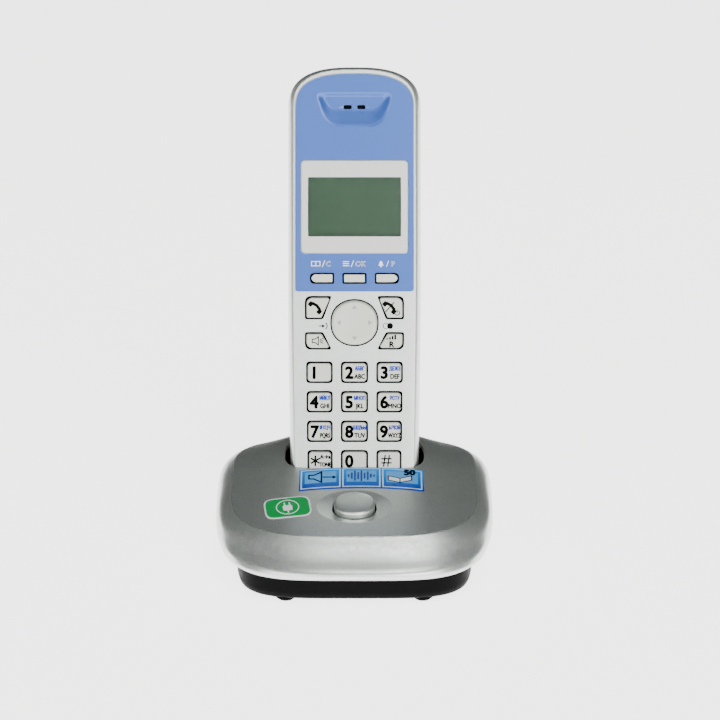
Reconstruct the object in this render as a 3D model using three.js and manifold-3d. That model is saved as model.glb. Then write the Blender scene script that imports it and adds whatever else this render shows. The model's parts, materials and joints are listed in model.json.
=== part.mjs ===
// Cordless telephone standing in its charging base.
// Millimetres, +Z up, front towards -Y. The origin is the bottom centre of the whole object.
import * as THREE from 'three';
import { ParametricGeometry } from 'three/addons/geometries/ParametricGeometry.js';
import { mergeVertices } from 'three/addons/utils/BufferGeometryUtils.js';
import Module from 'manifold-3d';

const wasm = await Module();
wasm.setup();

// ---------------------------------------------------------------- driving dimensions

const GAP = 0.3; // left between pieces that touch on the real object
const HALF_TURN = Math.PI;
const REACH = 4; // how far a cutting tool runs past what it cuts

const base = {
  width: 99.8,
  depth: 84,
  wall: 1.8,
  frontSeam: 11, // height of the seam between the two casings at the front
  backSeam: 16, // and at the back
  ridgeHeight: 23.65, // front edge of the sloping top
  ridgeInset: 11.2, // how far that edge stands back from the front
  slope: 0.25, // rise of the top per millimetre of depth
  levelling: 0.0068, // how fast the top levels out beside the handset
  crestHeight: 6, // of the backrest behind the handset
  crestHalfWidth: 34,
  crestStart: 19, // from the back
  crestEnd: 8,
  crownHalfWidth: 43.4, // where the top has dropped by the whole crown
  crownFront: 0.9, // how far the top drops at its sides, at the front
  crownGrowth: 0.03, // and how much more for each millimetre further back
  crownPower: 4,
};
const tub = {
  sideInset: 7.7,
  frontInset: 5.2,
  backInset: 5,
  wall: 1.6,
  floorHeight: 1.7,
  rimOverlap: 2.6,
  squareness: 4.4,
  // inset and height of the rounding between the floor and the sides
  rounding: [[2, 0], [0.9, 0.7], [0.3, 2.2]],
};
const foot = {
  radius: 3.8, padRadius: 2.6, padHeight: 0.9, padEdge: 0.2, sink: 0.25, inset: 18, frontInset: 11.5,
  backInset: 15,
};

const handset = {
  width: 48.4,
  lean: THREE.MathUtils.degToRad(20),
  topRadius: 15.6,
  bottomRadius: 14,
  topSquareness: 2.7,
  bottomSquareness: 2.6,
  sideTaper: 1.1, // half the width lost at the bottom end
  sideTaperPower: 1.5,
  seam: 9.5, // depth of the seam between front and rear casings
  seamAhead: 1.3, // the front casing ends this far ahead of it
  seamBehind: 1.1, // and the rear casing starts this far ahead of it
  bottomThickness: 20,
  thickest: 0.7, // where along its length
  thicknessPower: 1.2,
  topThinning: 2,
  flatShare: 0.86, // share of the width that the flat of the face takes
  wall: 1.8,
  faceWall: 3,
  seatBack: 36.3, // bottom of the face, ahead of the back of the base
  seatHeight: 22,
  rimAbovePanel: 2.5,
};

const key = { gap: 0.45, proud: 0.6, height: 4.4, chamfer: 0.5 };
const digits = {
  rows: 4, columns: 3, pitch: 10.7, firstRow: 14.6, holeHeight: 7.9, columnGap: 2.9, margin: 3, radius: 1.5,
};
const navigator = {
  aboveDigits: 18, radius: 8.8, flat: 8.6, gap: 0.5, proud: 0.8, back: 3.4, chamfer: 0.6,
  postRadius: 1.5, postLength: 1.1,
};
const sideKey = {
  tallHeight: 8.5, shortHeight: 6.4, spread: 1.2, lowSpread: 3.4, slant: 3.2, margin: 2.8, overlap: 0.6,
  innerRadius: 1, outerRadius: 0.9, endRadius: 2.4, tipRadius: 0.8,
};
const softKey = { width: 8.8, height: 4, rise: 4.8, pitch: 11.8, proud: 1, innerRadius: 0.6 };
const panel = {
  aboveNavigator: 11.3, length: 79.3, inset: 2.85, thickness: 1.2, bossDepth: 3.2, bossGrowth: 2,
  bossRadius: 4,
};
const display = {
  width: 38.5, height: 33.4, rise: 14, radius: 1.8, glassThickness: 1, overlap: 3,
  viewWidth: 33.8, viewHeight: 21.5, viewRise: 6, viewRadius: 0.5, cellThickness: 2,
};
const earpiece = {
  rise: 67.2, width: 28.3, height: 12, depth: 1.5, bowlShare: 0.62, bowlHeight: 4,
  slotWidth: 2.9, slotHeight: 1.5, slotRadius: 0.7, slotSpread: 2.5, slotRise: 1, radius: 7.5,
  thickness: 3, rim: 1.5,
};
const microphone = { radius: 2, thickness: 2.2, rise: 5.6, holeRadius: 0.6 };
const loudspeaker = { radius: 9, thickness: 5, rim: 2, depth: 15, fromTop: 28.4 };
const soundSlot = { count: 5, width: 13, shorter: 2, height: 1.2, pitch: 2.8, fromTop: 34, behindSeam: 6 };

const mat = { top: 5.3, thickness: 0.9, bottom: 10.5, sideMargin: 2.5, above: 12 };
mat.notch = { width: 3, height: 1, inset: 4 };
const board = {
  thickness: 1.6, top: mat.top + mat.thickness + GAP, bottom: 9, fromTop: 7, speakerGap: 0.7,
};
const cell = { radius: 5.25, length: 44.5, gap: 0.4, edge: 0.4, nubRadius: 1.9, nubLength: 0.8 };
const tray = {
  floor: 11, wall: 1.2, margin: 0.5, endSpace: 2, bottom: 5, plateThickness: 0.5, plateWidth: 7,
  plateGap: 0.6,
};
const cover = { width: 32, height: 62, bottom: 43, wall: 1.6, radius: 4, frame: 1.5, ahead: 5, overCells: 6 };
handset.thickness = tray.floor + 2 * cell.radius + cover.overCells;
const grip = { count: 3, width: 12, height: 1, depth: 0.5, pitch: 2.4, fromTop: 7 };
const screw = {
  x: 17, z: 27, holeGap: 0.2, headRadius: 1.3, length: 6, depth: 6, bossRadius: 3, headHeight: 1.1,
  neckHeight: 1.5, tip: 0.6,
};
screw.holeRadius = screw.headRadius + screw.holeGap;
const cradle = {
  lipBehindFace: 4.3, sideClearance: 1.2, frontClearance: 1, backClearance: 3.5, frontPower: 5,
  backPower: 2.6, wall: 1.2, floorGap: 0.4,
};
const contact = {
  spread: 11.5, width: 1.4, depth: 4, length: 8.4, setBack: 14, padWidth: 5, padThickness: 0.8,
  padHeight: 1.9,
  slotClearance: 0.6,
};
const locator = {
  width: 14.7, flat: 6.7, proud: 1.8, gap: 0.6, travel: 1, skirt: 3.4, share: 0.423,
  dishWidth: 27, dishLength: 19.5, dishDepth: 1.3, dishHeight: 6, stemRadius: 2, stemPlay: 1,
  edge: 0.7, crown: 0.3, crownInset: 2.4,
};
const tact = { width: 6, height: 4, buttonWidth: 3, buttonRise: 1.5, play: 0.6 };
const baseBoard = { height: 7.2, margin: 5, depth: 44, front: 17.5, radius: 10, screwClearance: 1 };
const baseScrew = {
  x: 31, fromBack: 21, headRadius: 2.2, length: 9, rise: 0.7, postRadius: 3, boreRadius: 1.4,
  postBottom: 6.1,
  bossRadius: 4, bossHeight: 4, recessRadius: 2.7, recessDepth: 4.2, shankRadius: 1.5,
};
const vent = { count: 7, width: 16, height: 1.6, pitch: 3.6, front: 32 };
const socketBack = 5.6; // the sockets end this far ahead of the back of the base
const lineSocket = {
  width: 13, height: 8.2, depth: 15, mouthWidth: 9.8, mouthHeight: 6.2, mouthDepth: 12, x: -14,
};
lineSocket.latch = { width: 3.2, height: 2, drop: 1.2 };
const powerSocket = {
  width: 9, height: 8.2, depth: 12, boreRadius: 2.8, boreDepth: 9, pinRadius: 0.8, pinShort: 1.25,
  x: 14,
};
const label = { lift: 0.3, thickness: 0.25 };
const featureLabel = { x: 2.5, width: 45, length: 12.4, frontBow: 3.6, backBow: 3.4, toLip: 14.6 };
const energyLabel = { width: 16.5, height: 11.5, radius: 3.5, x: -23.8, behind: -0.5, turn: 0.14 };

// Lengths and places that follow from the ones above, along the handset from its bottom end.
const place = {};
place.lastRow = digits.firstRow + (digits.rows - 1) * digits.pitch;
place.navigator = place.lastRow + navigator.aboveDigits;
place.panelBottom = place.navigator + panel.aboveNavigator;
place.softKeys = place.panelBottom + softKey.rise;
place.displayBottom = place.panelBottom + display.rise;
place.display = place.displayBottom + display.height / 2;
place.view = place.displayBottom + display.viewRise + display.viewHeight / 2;
place.earpiece = place.panelBottom + earpiece.rise;
handset.length = place.panelBottom + panel.length + handset.rimAbovePanel;
place.sideKeysTop = place.navigator + sideKey.spread + sideKey.tallHeight;
place.sideKeysLow = place.navigator - sideKey.lowSpread - sideKey.shortHeight;

// ---------------------------------------------------------------- solids

function solidOf(geometry) {
  const loose = geometry.index ? geometry.toNonIndexed() : geometry;
  const bare = new THREE.BufferGeometry().setAttribute('position', loose.getAttribute('position'));
  const merged = mergeVertices(bare, 1e-4);
  const made = new wasm.Manifold(new wasm.Mesh({
    numProp: 3,
    vertProperties: merged.attributes.position.array,
    triVerts: new Uint32Array(merged.index.array),
  }));
  if (made.volume() < 0) throw new Error('a geometry is inside out');
  return made;
}

function geometryOf(solid) {
  const mesh = solid.getMesh();
  const position = new Float32Array(mesh.numVert * 3);
  for (let i = 0; i < mesh.numVert; i++) {
    const start = i * mesh.numProp;
    position.set(mesh.vertProperties.subarray(start, start + 3), i * 3);
  }
  const made = new THREE.BufferGeometry();
  made.setAttribute('position', new THREE.BufferAttribute(position, 3));
  made.setIndex(new THREE.BufferAttribute(new Uint32Array(mesh.triVerts), 1));
  made.computeVertexNormals();
  return made;
}

function piece(name, shape, material) {
  const geometry = shape.isBufferGeometry ? shape : geometryOf(shape);
  const mesh = new THREE.Mesh(geometry, material.clone());
  mesh.name = name;
  return mesh;
}

// The solid moved by a matrix, by way of its geometry.
const moved = (solid, matrix) => solidOf(geometryOf(solid).applyMatrix4(matrix));
const shifted = (solid, x, y, z) => moved(solid, new THREE.Matrix4().makeTranslation(x, y, z));

// A box from its centre in X, its lowest Y and Z, and its size.
function block(width, depth, height, x, y, z) {
  return solidOf(new THREE.BoxGeometry(width, depth, height).translate(x, y + depth / 2, z + height / 2));
}

// An upright pin from its radius, its lowest point and its length.
function pin(radius, length, x, y, z, sides = 14) {
  const made = new THREE.CylinderGeometry(radius, radius, length, sides).rotateX(HALF_TURN / 2);
  return solidOf(made.translate(x, y, z + length / 2));
}

// A lofted surface closed at both ends, from rings of points of equal count.
function loft(rings) {
  const around = rings[0].length;
  const along = rings.length - 1;
  const at = (u, v, target) => {
    const ring = rings[Math.round(v * along)];
    target.copy(ring[Math.round(u * around) % around]);
  };
  return solidOf(new ParametricGeometry(at, around, along));
}

const signedPower = (value, power) => Math.sign(value) * Math.abs(value) ** power;
const mix = (a, b, share) => a + (b - a) * share;
const clamp = THREE.MathUtils.clamp;
const smoothstep = THREE.MathUtils.smoothstep;

// ---------------------------------------------------------------- outlines

function roundedRectangle(width, height, radius) {
  return roundedPolygon(
    [[-width / 2, -height / 2], [width / 2, -height / 2], [width / 2, height / 2], [-width / 2, height / 2]],
    [radius, radius, radius, radius],
  );
}

// A polygon whose corners are rounded, given counterclockwise.
function roundedPolygon(corners, radii) {
  const shape = new THREE.Shape();
  corners.forEach((corner, i) => {
    const here = new THREE.Vector2(...corner);
    const before = new THREE.Vector2(...corners.at(i - 1)).sub(here);
    const after = new THREE.Vector2(...corners[(i + 1) % corners.length]).sub(here);
    const reach = Math.min(radii[i], before.length() * 0.45, after.length() * 0.45);
    const start = here.clone().addScaledVector(before.normalize(), reach);
    const end = here.clone().addScaledVector(after.normalize(), reach);
    if (i === 0) shape.moveTo(start.x, start.y);
    else shape.lineTo(start.x, start.y);
    shape.quadraticCurveTo(here.x, here.y, end.x, end.y);
  });
  shape.closePath();
  return shape;
}

// A circle with its top and bottom cut off flat, or its sides when they are the nearer.
function flattenedCircle(radius, flat, steps = 24) {
  const points = [];
  for (let i = 0; i < steps; i++) {
    const angle = (i / steps) * 2 * HALF_TURN;
    points.push(new THREE.Vector2(radius * Math.cos(angle), clamp(radius * Math.sin(angle), -flat, flat)));
  }
  return new THREE.Shape(points);
}

// A superellipse about (0, centre), with its own depth and power ahead of the centre and behind it.
function wellOutline(grow, steps = 32) {
  const points = [];
  const centre = (handset.bottomThickness + cradle.backClearance - cradle.frontClearance) / 2;
  for (let i = 0; i < steps; i++) {
    const angle = (i / steps) * 2 * HALF_TURN;
    const ahead = Math.sin(angle) < 0;
    const power = 2 / (ahead ? cradle.frontPower : cradle.backPower);
    const back = handset.bottomThickness + cradle.backClearance - centre;
    const depth = (ahead ? centre + cradle.frontClearance : back) + grow;
    const x = (handset.width / 2 + cradle.sideClearance + grow) * signedPower(Math.cos(angle), power);
    points.push(new THREE.Vector2(x, centre + depth * signedPower(Math.sin(angle), power)));
  }
  return new THREE.Shape(points);
}

// A prism through the face: an outline drawn as seen from the front, between two depths.
function facePrism(shape, front, back, segments = 4) {
  const options = { depth: back - front, bevelEnabled: false, curveSegments: segments };
  return new THREE.ExtrudeGeometry(shape, options).rotateX(HALF_TURN / 2).translate(0, back, 0);
}

// A prism standing up: an outline drawn as seen from above, between two heights.
function uprightPrism(shape, low, high, segments = 4) {
  const options = { depth: high - low, bevelEnabled: false, curveSegments: segments };
  return new THREE.ExtrudeGeometry(shape, options).translate(0, 0, low);
}

// A keycap: an outline drawn from the front, with its front edge chamfered.
function keycap(outline, front, back, chamfer) {
  const ring = (shrink, depth, share = 1) => outline(shrink).getPoints(2)
    .filter((point, i, all) => i === 0 || point.distanceTo(all[0]) > 1e-3)
    .map((point) => new THREE.Vector3(point.x * share, depth, point.y * share));
  return loft([
    ring(0, back, 0), ring(0, back), ring(0, front + chamfer), ring(chamfer, front), ring(chamfer, front, 0),
  ]);
}

// ---------------------------------------------------------------- base casings

// Height of the top, as a function of place. The top rises from the front ridge, levels out
// beside the handset and stands up as a backrest behind it.
function topHeight(x, y) {
  const levelOut = base.depth - handset.seatBack;
  const run = y - base.ridgeInset;
  const past = Math.max(0, y - levelOut);
  const spine = base.ridgeHeight + base.slope * run - base.levelling * past ** 2;
  const drop = base.crownFront + base.crownGrowth * Math.max(0, run);
  const crown = drop * Math.abs(x / base.crownHalfWidth) ** base.crownPower;
  const across = Math.max(0, 1 - (x / base.crestHalfWidth) ** 2) ** 2;
  const back = smoothstep(y, base.depth - base.crestStart, base.depth - base.crestEnd);
  const crest = base.crestHeight * across * back;
  return spine - crown + crest;
}

const seamHeight = (y) => mix(base.frontSeam, base.backSeam, y / base.depth);

// Rings of the upper casing: inset from the widest outline at side, front and back, squareness of
// the front and back halves, and share of the height between seam and top.
const upperRings = [
  { side: 5, front: 1.4, back: 3, ahead: 3.8, behind: 3.8, share: 0 },
  { side: 2, front: 0.3, back: 1, ahead: 3.4, behind: 3.8, share: 0.11 },
  { side: 0.9, front: 0, back: 0, ahead: 3.1, behind: 4.2, share: 0.24 },
  { side: 0.3, front: 1, back: 0, ahead: 3, behind: 4.6, share: 0.37 },
  { side: 0, front: 4.6, back: 0.6, ahead: 3, behind: 5, share: 0.57 },
  { side: 1, front: 8.2, back: 2, ahead: 3.2, behind: 5.2, share: 0.79 },
  { side: 3.2, front: 10, back: 3.4, ahead: 3.2, behind: 5, share: 0.92 },
  { side: 6, front: base.ridgeInset, back: 5.4, ahead: 3.2, behind: 4.8, share: 1 },
];
const topShares = [0.96, 0.88, 0.76, 0.62, 0.45, 0.25, 0];

function upperSolid(inset, around) {
  const ringAt = (ring, shrink, low) => {
    const points = [];
    const centre = (base.depth + ring.front - ring.back) / 2;
    for (let i = 0; i < around; i++) {
      const angle = (i / around) * 2 * HALF_TURN;
      const power = 2 / (Math.sin(angle) < 0 ? ring.ahead : ring.behind);
      const halfX = (base.width / 2 - ring.side - inset) * shrink;
      const halfY = ((base.depth - ring.front - ring.back) / 2 - inset) * shrink;
      const x = halfX * signedPower(Math.cos(angle), power);
      const y = centre + halfY * signedPower(Math.sin(angle), power);
      const z = mix(seamHeight(y), topHeight(x, y), ring.share) - inset * ring.share - low;
      points.push(new THREE.Vector3(x, y, z));
    }
    return points;
  };
  const ridge = upperRings.at(-1);
  const sides = upperRings.map((ring, i) => ringAt(ring, 1, i === 0 ? inset * 2 : 0));
  const top = topShares.map((share) => ringAt(ridge, share, 0));
  return loft([ringAt(upperRings[0], 0, inset * 2), ...sides, ...top]);
}

// Rings of the lower casing: inset of the outline from the tub's own, and height.
function tubSolid(inset, around) {
  const front = tub.frontInset + inset;
  const back = base.depth - tub.backInset - inset;
  const halfX = base.width / 2 - tub.sideInset - inset;
  const halfY = (back - front) / 2;
  const floor = tub.floorHeight + inset;
  const ringAt = (narrow, height, shrink = 1) => {
    const points = [];
    for (let i = 0; i < around; i++) {
      const angle = (i / around) * 2 * HALF_TURN;
      const power = 2 / tub.squareness;
      const x = (halfX - narrow) * shrink * signedPower(Math.cos(angle), power);
      const y = (front + back) / 2 + (halfY - narrow) * shrink * signedPower(Math.sin(angle), power);
      points.push(new THREE.Vector3(x, y, height ?? seamHeight(y) + tub.rimOverlap + inset));
    }
    return points;
  };
  return loft([
    ringAt(0, floor, 0), ...tub.rounding.map(([narrow, rise]) => ringAt(narrow, floor + rise)),
    ringAt(0), ringAt(0, null, 0),
  ]);
}

// ---------------------------------------------------------------- handset casing

// Thickness of the handset along its length.
function handsetThickness(z) {
  const widest = handset.length * handset.thickest;
  const rise = Math.sin(clamp(z / widest, 0, 1) * HALF_TURN / 2) ** handset.thicknessPower;
  const fall = Math.max(0, (z - widest) / (handset.length - widest)) ** 2;
  return mix(handset.bottomThickness, handset.thickness, rise) - handset.topThinning * fall;
}

const handsetHalfWidth = (z) =>
  handset.width / 2 - handset.sideTaper * Math.max(0, 1 - z / place.panelBottom) ** handset.sideTaperPower;

// Levels of the casing, from the middle of the face round the seam to the middle of the back:
// share of the outline, then depth at the top end and at the bottom end, or share of the thickness.
const faceLevels = [
  [0, 0, 0], [0.84, 0, 0], [0.9, 0, 0.4], [0.955, 0.8, 1.6], [0.988, 2.6, 3.8], [1, 6, 7],
];
const backLevels = [
  [1, 0], [0.985, 0.3], [0.95, 0.52], [0.88, 0.72], [0.76, 0.87], [0.58, 0.96], [0.3, 1], [0, 1],
];

function handsetSolid(inset, faceInset) {
  const capSteps = 6;
  const sideSteps = 4;
  const top = handset.length - handset.topRadius;
  const bottom = handset.bottomRadius;
  const spokes = [];
  const cap = (from, centre, radius, power) => {
    for (let i = 0; i <= 2 * capSteps; i++) {
      const angle = from + (i / (2 * capSteps)) * HALF_TURN;
      const across = signedPower(Math.cos(angle), 2 / power);
      spokes.push([across, centre, (radius - inset) * signedPower(Math.sin(angle), 2 / power)]);
    }
  };
  const side = (across, from, to) => {
    for (let i = 1; i < sideSteps; i++) spokes.push([across, mix(from, to, i / sideSteps), 0]);
  };
  cap(0, top, handset.topRadius, handset.topSquareness);
  side(-1, top, bottom);
  cap(HALF_TURN, bottom, handset.bottomRadius, handset.bottomSquareness);
  side(1, bottom, top);

  const ringAt = (share, depthAt) => spokes.map(([across, centre, reach]) => {
    const z = centre + reach * share;
    const x = (handsetHalfWidth(z) - inset) * across * share;
    return new THREE.Vector3(x, depthAt(z), z);
  });
  const face = faceLevels.map(([share, topDepth, bottomDepth]) =>
    ringAt(share, (z) => faceInset + mix(bottomDepth, topDepth, clamp(z / handset.length, 0, 1))));
  const back = backLevels.map(([share, depth]) =>
    ringAt(share, (z) => mix(handset.seam, handsetThickness(z) - inset, depth)));
  return loft([...face, ...back].reverse());
}

// ---------------------------------------------------------------- materials

function plastic(colour, roughness, metalness = 0) {
  return new THREE.MeshStandardMaterial({ color: colour, roughness, metalness });
}
const silver = plastic(0xb4b8b4, 0.38, 0.35);
const blue = plastic(0x6f93c4, 0.25, 0.3);
const keySilver = plastic(0xb9bab4, 0.5, 0.1);
const black = plastic(0x0c0c0d, 0.5);
const rubber = plastic(0x1a1a1b, 0.9);
const clear = plastic(0xcdd3d0, 0.08);
const lcdGreen = plastic(0x5a715f, 0.2);
const boardGreen = plastic(0x1f5a36, 0.5);
const steel = plastic(0xc9c6bb, 0.25, 1);
const cellGreen = plastic(0x3f8c4a, 0.35);
const labelBlue = plastic(0x6fa3d8, 0.2);
const labelGreen = plastic(0x2fb47a, 0.4);

// ---------------------------------------------------------------- handset pieces

const handsetGroup = new THREE.Group();
handsetGroup.rotation.x = -handset.lean;
handsetGroup.position.set(0, base.depth - handset.seatBack, handset.seatHeight);
handsetGroup.updateMatrix();
const intoHandset = (solid) => moved(solid, handsetGroup.matrix);

// Columns of the keypad: the outer keys end a margin inside the face, which narrows downwards.
function digitHole(row, column) {
  const z = place.lastRow - row * digits.pitch;
  const reach = handsetHalfWidth(z) * handset.flatShare - digits.margin;
  const middle = (handset.width / 2 * handset.flatShare - digits.margin - digits.columnGap) / digits.columns;
  if (column === 1) return { x: 0, z, width: 2 * middle, height: digits.holeHeight };
  const inner = middle + digits.columnGap;
  const side = column === 0 ? -1 : 1;
  return { x: side * (inner + reach) / 2, z, width: reach - inner, height: digits.holeHeight };
}

const digitNames = ['1', '2', '3', '4', '5', '6', '7', '8', '9', 'star', '0', 'hash'];
const keyHoles = digitNames.map((name, i) => {
  const hole = digitHole(Math.floor(i / digits.columns), i % digits.columns);
  return {
    name: 'key_' + name,
    x: hole.x,
    z: hole.z,
    outline: (shrink) =>
      roundedRectangle(hole.width - 2 * shrink, hole.height - 2 * shrink, digits.radius - shrink / 2),
    proud: key.proud,
  };
});

// The four keys at the corners of the navigator: wide at the outer end of the navigator's circle,
// narrow beside its middle.
function cornerKey(name, side, upper) {
  const height = upper ? sideKey.tallHeight : sideKey.shortHeight;
  const z = upper ? place.sideKeysTop - height / 2 : place.sideKeysLow + height / 2;
  const reach = handset.width / 2 * handset.flatShare - sideKey.margin;
  const wide = reach - navigator.radius + sideKey.overlap;
  const slantAngle = Math.atan(sideKey.slant / height);
  const outline = (shrink) => {
    const outer = wide / 2 - shrink;
    const wideEnd = shrink / Math.cos(slantAngle) + shrink * Math.tan(slantAngle) - wide / 2;
    const narrowEnd = wideEnd + sideKey.slant * (1 - 2 * shrink / height);
    const half = height / 2 - shrink;
    const low = upper ? narrowEnd : wideEnd;
    const high = upper ? wideEnd : narrowEnd;
    const corners = [[low, -half], [outer, -half], [outer, half], [high, half]];
    const { tipRadius, outerRadius, endRadius, innerRadius } = sideKey;
    const radii = upper
      ? [tipRadius, outerRadius, endRadius, innerRadius]
      : [innerRadius, endRadius, outerRadius, tipRadius];
    if (side > 0) return roundedPolygon(corners, radii);
    return roundedPolygon(corners.map(([a, b]) => [-a, b]).reverse(), radii.toReversed());
  };
  return { name, x: side * (reach - wide / 2), z, outline, proud: key.proud };
}
keyHoles.push(
  cornerKey('key_talk', -1, true), cornerKey('key_off', 1, true),
  cornerKey('key_speaker', -1, false), cornerKey('key_flash', 1, false),
);

const softNames = ['soft_key_left', 'soft_key_middle', 'soft_key_right'];
const softHoles = softNames.map((name, i) => ({
  name,
  x: (i - 1) * softKey.pitch,
  z: place.softKeys,
  outline: (shrink) => {
    const w = softKey.width / 2 - shrink;
    const h = softKey.height / 2 - shrink;
    const round = softKey.height / 2 - shrink;
    const left = i === 0 ? round : softKey.innerRadius;
    const right = i === softNames.length - 1 ? round : softKey.innerRadius;
    return roundedPolygon([[-w, -h], [w, -h], [w, h], [-w, h]], [left, right, right, left]);
  },
  proud: softKey.proud,
}));

const holeThrough = (hole, back) =>
  solidOf(facePrism(hole.outline(0), -REACH, back, 2).translate(hole.x, 0, hole.z));
const navigatorOutline = (grow) => flattenedCircle(navigator.radius + grow, navigator.flat + grow);
const navigatorHole = solidOf(
  facePrism(navigatorOutline(0), -REACH, handset.faceWall + REACH).translate(0, 0, place.navigator),
);

// Everything inside the outline of the face panel, which follows the casing with an even rim.
function panelRegion(inset, front, back) {
  const slice = block(handset.width, back - front, handset.length, 0, front, place.panelBottom + inset);
  const level = handset.seam - 1;
  const sheet = block(handset.width, 1, handset.length + 2 * REACH, 0, level, -REACH);
  const middle = handsetSolid(panel.inset + inset, 0).intersect(sheet);
  const stretch = back - front + 2;
  const spread = new THREE.Matrix4().makeScale(1, stretch, 1).setPosition(0, front - 1 - level * stretch, 0);
  return moved(middle, spread).intersect(slice);
}

// The seat behind the earpiece bowl, and the hole it stands in.
const bossOutline = (gap) => roundedRectangle(
  earpiece.width + panel.bossGrowth + 2 * gap, earpiece.height + panel.bossGrowth + 2 * gap, panel.bossRadius,
);

function frontHousing() {
  const depth = handset.seam - handset.seamAhead;
  const ahead = block(handset.width + 2, depth + REACH, handset.length + 2 * REACH, 0, -REACH, -REACH);
  let made = handsetSolid(0, 0).intersect(ahead).subtract(handsetSolid(handset.wall, handset.faceWall));
  made = made.subtract(panelRegion(-GAP / 3, -REACH / 2, panel.thickness + GAP));
  const through = handset.faceWall + REACH;
  const glass = roundedRectangle(display.width - display.overlap, display.height - 2 * display.overlap, 1);
  made = made.subtract(solidOf(facePrism(glass, 0, through).translate(0, 0, place.view)));
  made = made.subtract(solidOf(facePrism(bossOutline(2 * GAP), 0, through).translate(0, 0, place.earpiece)));
  for (const hole of [...keyHoles, ...softHoles]) made = made.subtract(holeThrough(hole, through));
  made = made.subtract(navigatorHole);
  const { holeRadius, rise } = microphone;
  const voice = new THREE.CylinderGeometry(holeRadius, holeRadius, 2 * REACH, 10).translate(0, 0, rise);
  return made.subtract(solidOf(voice));
}

function facePanel() {
  const overlap = 0.2;
  const boss = facePrism(bossOutline(0), panel.thickness - overlap, panel.bossDepth);
  let made = panelRegion(0, 0, panel.thickness).add(solidOf(boss.translate(0, 0, place.earpiece)));
  const glass = roundedRectangle(display.width + 2 * GAP, display.height + 2 * GAP, display.radius);
  made = made.subtract(solidOf(facePrism(glass, -REACH, REACH).translate(0, 0, place.display)));
  for (const hole of softHoles) made = made.subtract(holeThrough(hole, REACH));
  const bowl = new THREE.SphereGeometry(1, 24, 12);
  bowl.scale(earpiece.width * earpiece.bowlShare, earpiece.bowlHeight, earpiece.height * earpiece.bowlShare);
  made = made.subtract(solidOf(bowl.translate(0, earpiece.depth - earpiece.bowlHeight, place.earpiece)));
  for (const side of [-1, 1]) {
    const slot = roundedRectangle(earpiece.slotWidth, earpiece.slotHeight, earpiece.slotRadius);
    const cutter = facePrism(slot, -REACH, panel.bossDepth + REACH);
    cutter.translate(side * earpiece.slotSpread, 0, place.earpiece + earpiece.slotRise);
    made = made.subtract(solidOf(cutter));
  }
  return made;
}

// Tray that the cells lie in, open at the back.
tray.width = 4 * cell.radius + 3 * cell.gap + 2 * tray.margin;
tray.height = cell.length + cell.nubLength + 2 * tray.endSpace;
tray.low = cover.bottom + tray.bottom;

function rearHousing() {
  const outer = handsetSolid(0, 0);
  const deep = handset.thickness + REACH;
  const cut = handset.seam - handset.seamBehind;
  const behind = block(handset.width + 2, deep, handset.length + 2 * REACH, 0, cut, -REACH);
  let made = outer.intersect(behind).subtract(handsetSolid(handset.wall, handset.faceWall));
  const walls = block(
    cover.width + 2 * cover.frame, deep, cover.height + 2 * cover.frame,
    0, tray.floor - tray.wall, cover.bottom - cover.frame,
  );
  made = made.add(outer.intersect(walls));
  made = made.subtract(block(tray.width, deep, tray.height, 0, tray.floor, tray.low));
  const skin = handsetSolid(-REACH / 2, -REACH / 2).subtract(handsetSolid(cover.wall + GAP, 0));
  made = made.subtract(solidOf(coverPrism(GAP)).intersect(skin));
  for (let i = 0; i < soundSlot.count; i++) {
    const away = Math.abs(i - (soundSlot.count - 1) / 2);
    const { width, shorter, height } = soundSlot;
    const slot = roundedRectangle(width - away * shorter, height, height / 2);
    const z = handset.length - soundSlot.fromTop + i * soundSlot.pitch;
    const cutter = facePrism(slot, handset.seam + soundSlot.behindSeam, deep, 2);
    made = made.subtract(solidOf(cutter.translate(0, 0, z)));
  }
  const within = handsetSolid(handset.wall / 2, handset.faceWall).intersect(behind);
  for (const side of [-1, 1]) {
    made = made.subtract(shifted(contactPad(GAP), side * contact.spread, 0, 0));
    const post = new THREE.CylinderGeometry(screw.bossRadius, screw.bossRadius, deep, 14);
    const bore = new THREE.CylinderGeometry(screw.holeRadius, screw.holeRadius, deep, 12);
    const start = handset.faceWall + REACH + deep / 2;
    made = made.add(solidOf(post.translate(side * screw.x, start, screw.z)).intersect(within));
    made = made.subtract(solidOf(bore.translate(side * screw.x, start, screw.z)));
  }
  return made;
}

function coverPrism(grow) {
  const shape = roundedRectangle(cover.width + 2 * grow, cover.height + 2 * grow, cover.radius);
  const prism = facePrism(shape, handset.seam + cover.ahead, handset.thickness + REACH);
  return prism.translate(0, 0, cover.bottom + cover.height / 2);
}

function batteryCover() {
  let made = solidOf(coverPrism(0)).intersect(handsetSolid(0, 0)).subtract(handsetSolid(cover.wall, 0));
  for (let i = 0; i < grip.count; i++) {
    const rib = roundedRectangle(grip.width, grip.height, grip.height / 2);
    const z = cover.bottom + cover.height - grip.fromTop - i * grip.pitch;
    const groove = facePrism(rib, handsetThickness(z) - grip.depth, handset.thickness + REACH, 2);
    made = made.subtract(solidOf(groove.translate(0, 0, z)));
  }
  return made;
}

function screwSolid(headRadius, length) {
  const neck = headRadius / 2;
  const profile = [
    [0, 0], [headRadius, 0], [headRadius, screw.headHeight], [neck, screw.neckHeight], [neck, length],
    [0, length + screw.tip],
  ];
  return solidOf(new THREE.LatheGeometry(profile.map(([r, h]) => new THREE.Vector2(r, h)), 8));
}

// Charging pad in the bottom end of the handset, or with a gap the pocket it lies in.
function contactPad(gap) {
  const open = gap ? REACH : 0;
  return block(
    contact.padWidth + 2 * gap, contact.depth + 2 * gap, contact.padThickness + 2 * gap + open,
    0, contact.setBack - gap, contact.padHeight - gap - open,
  );
}

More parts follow.
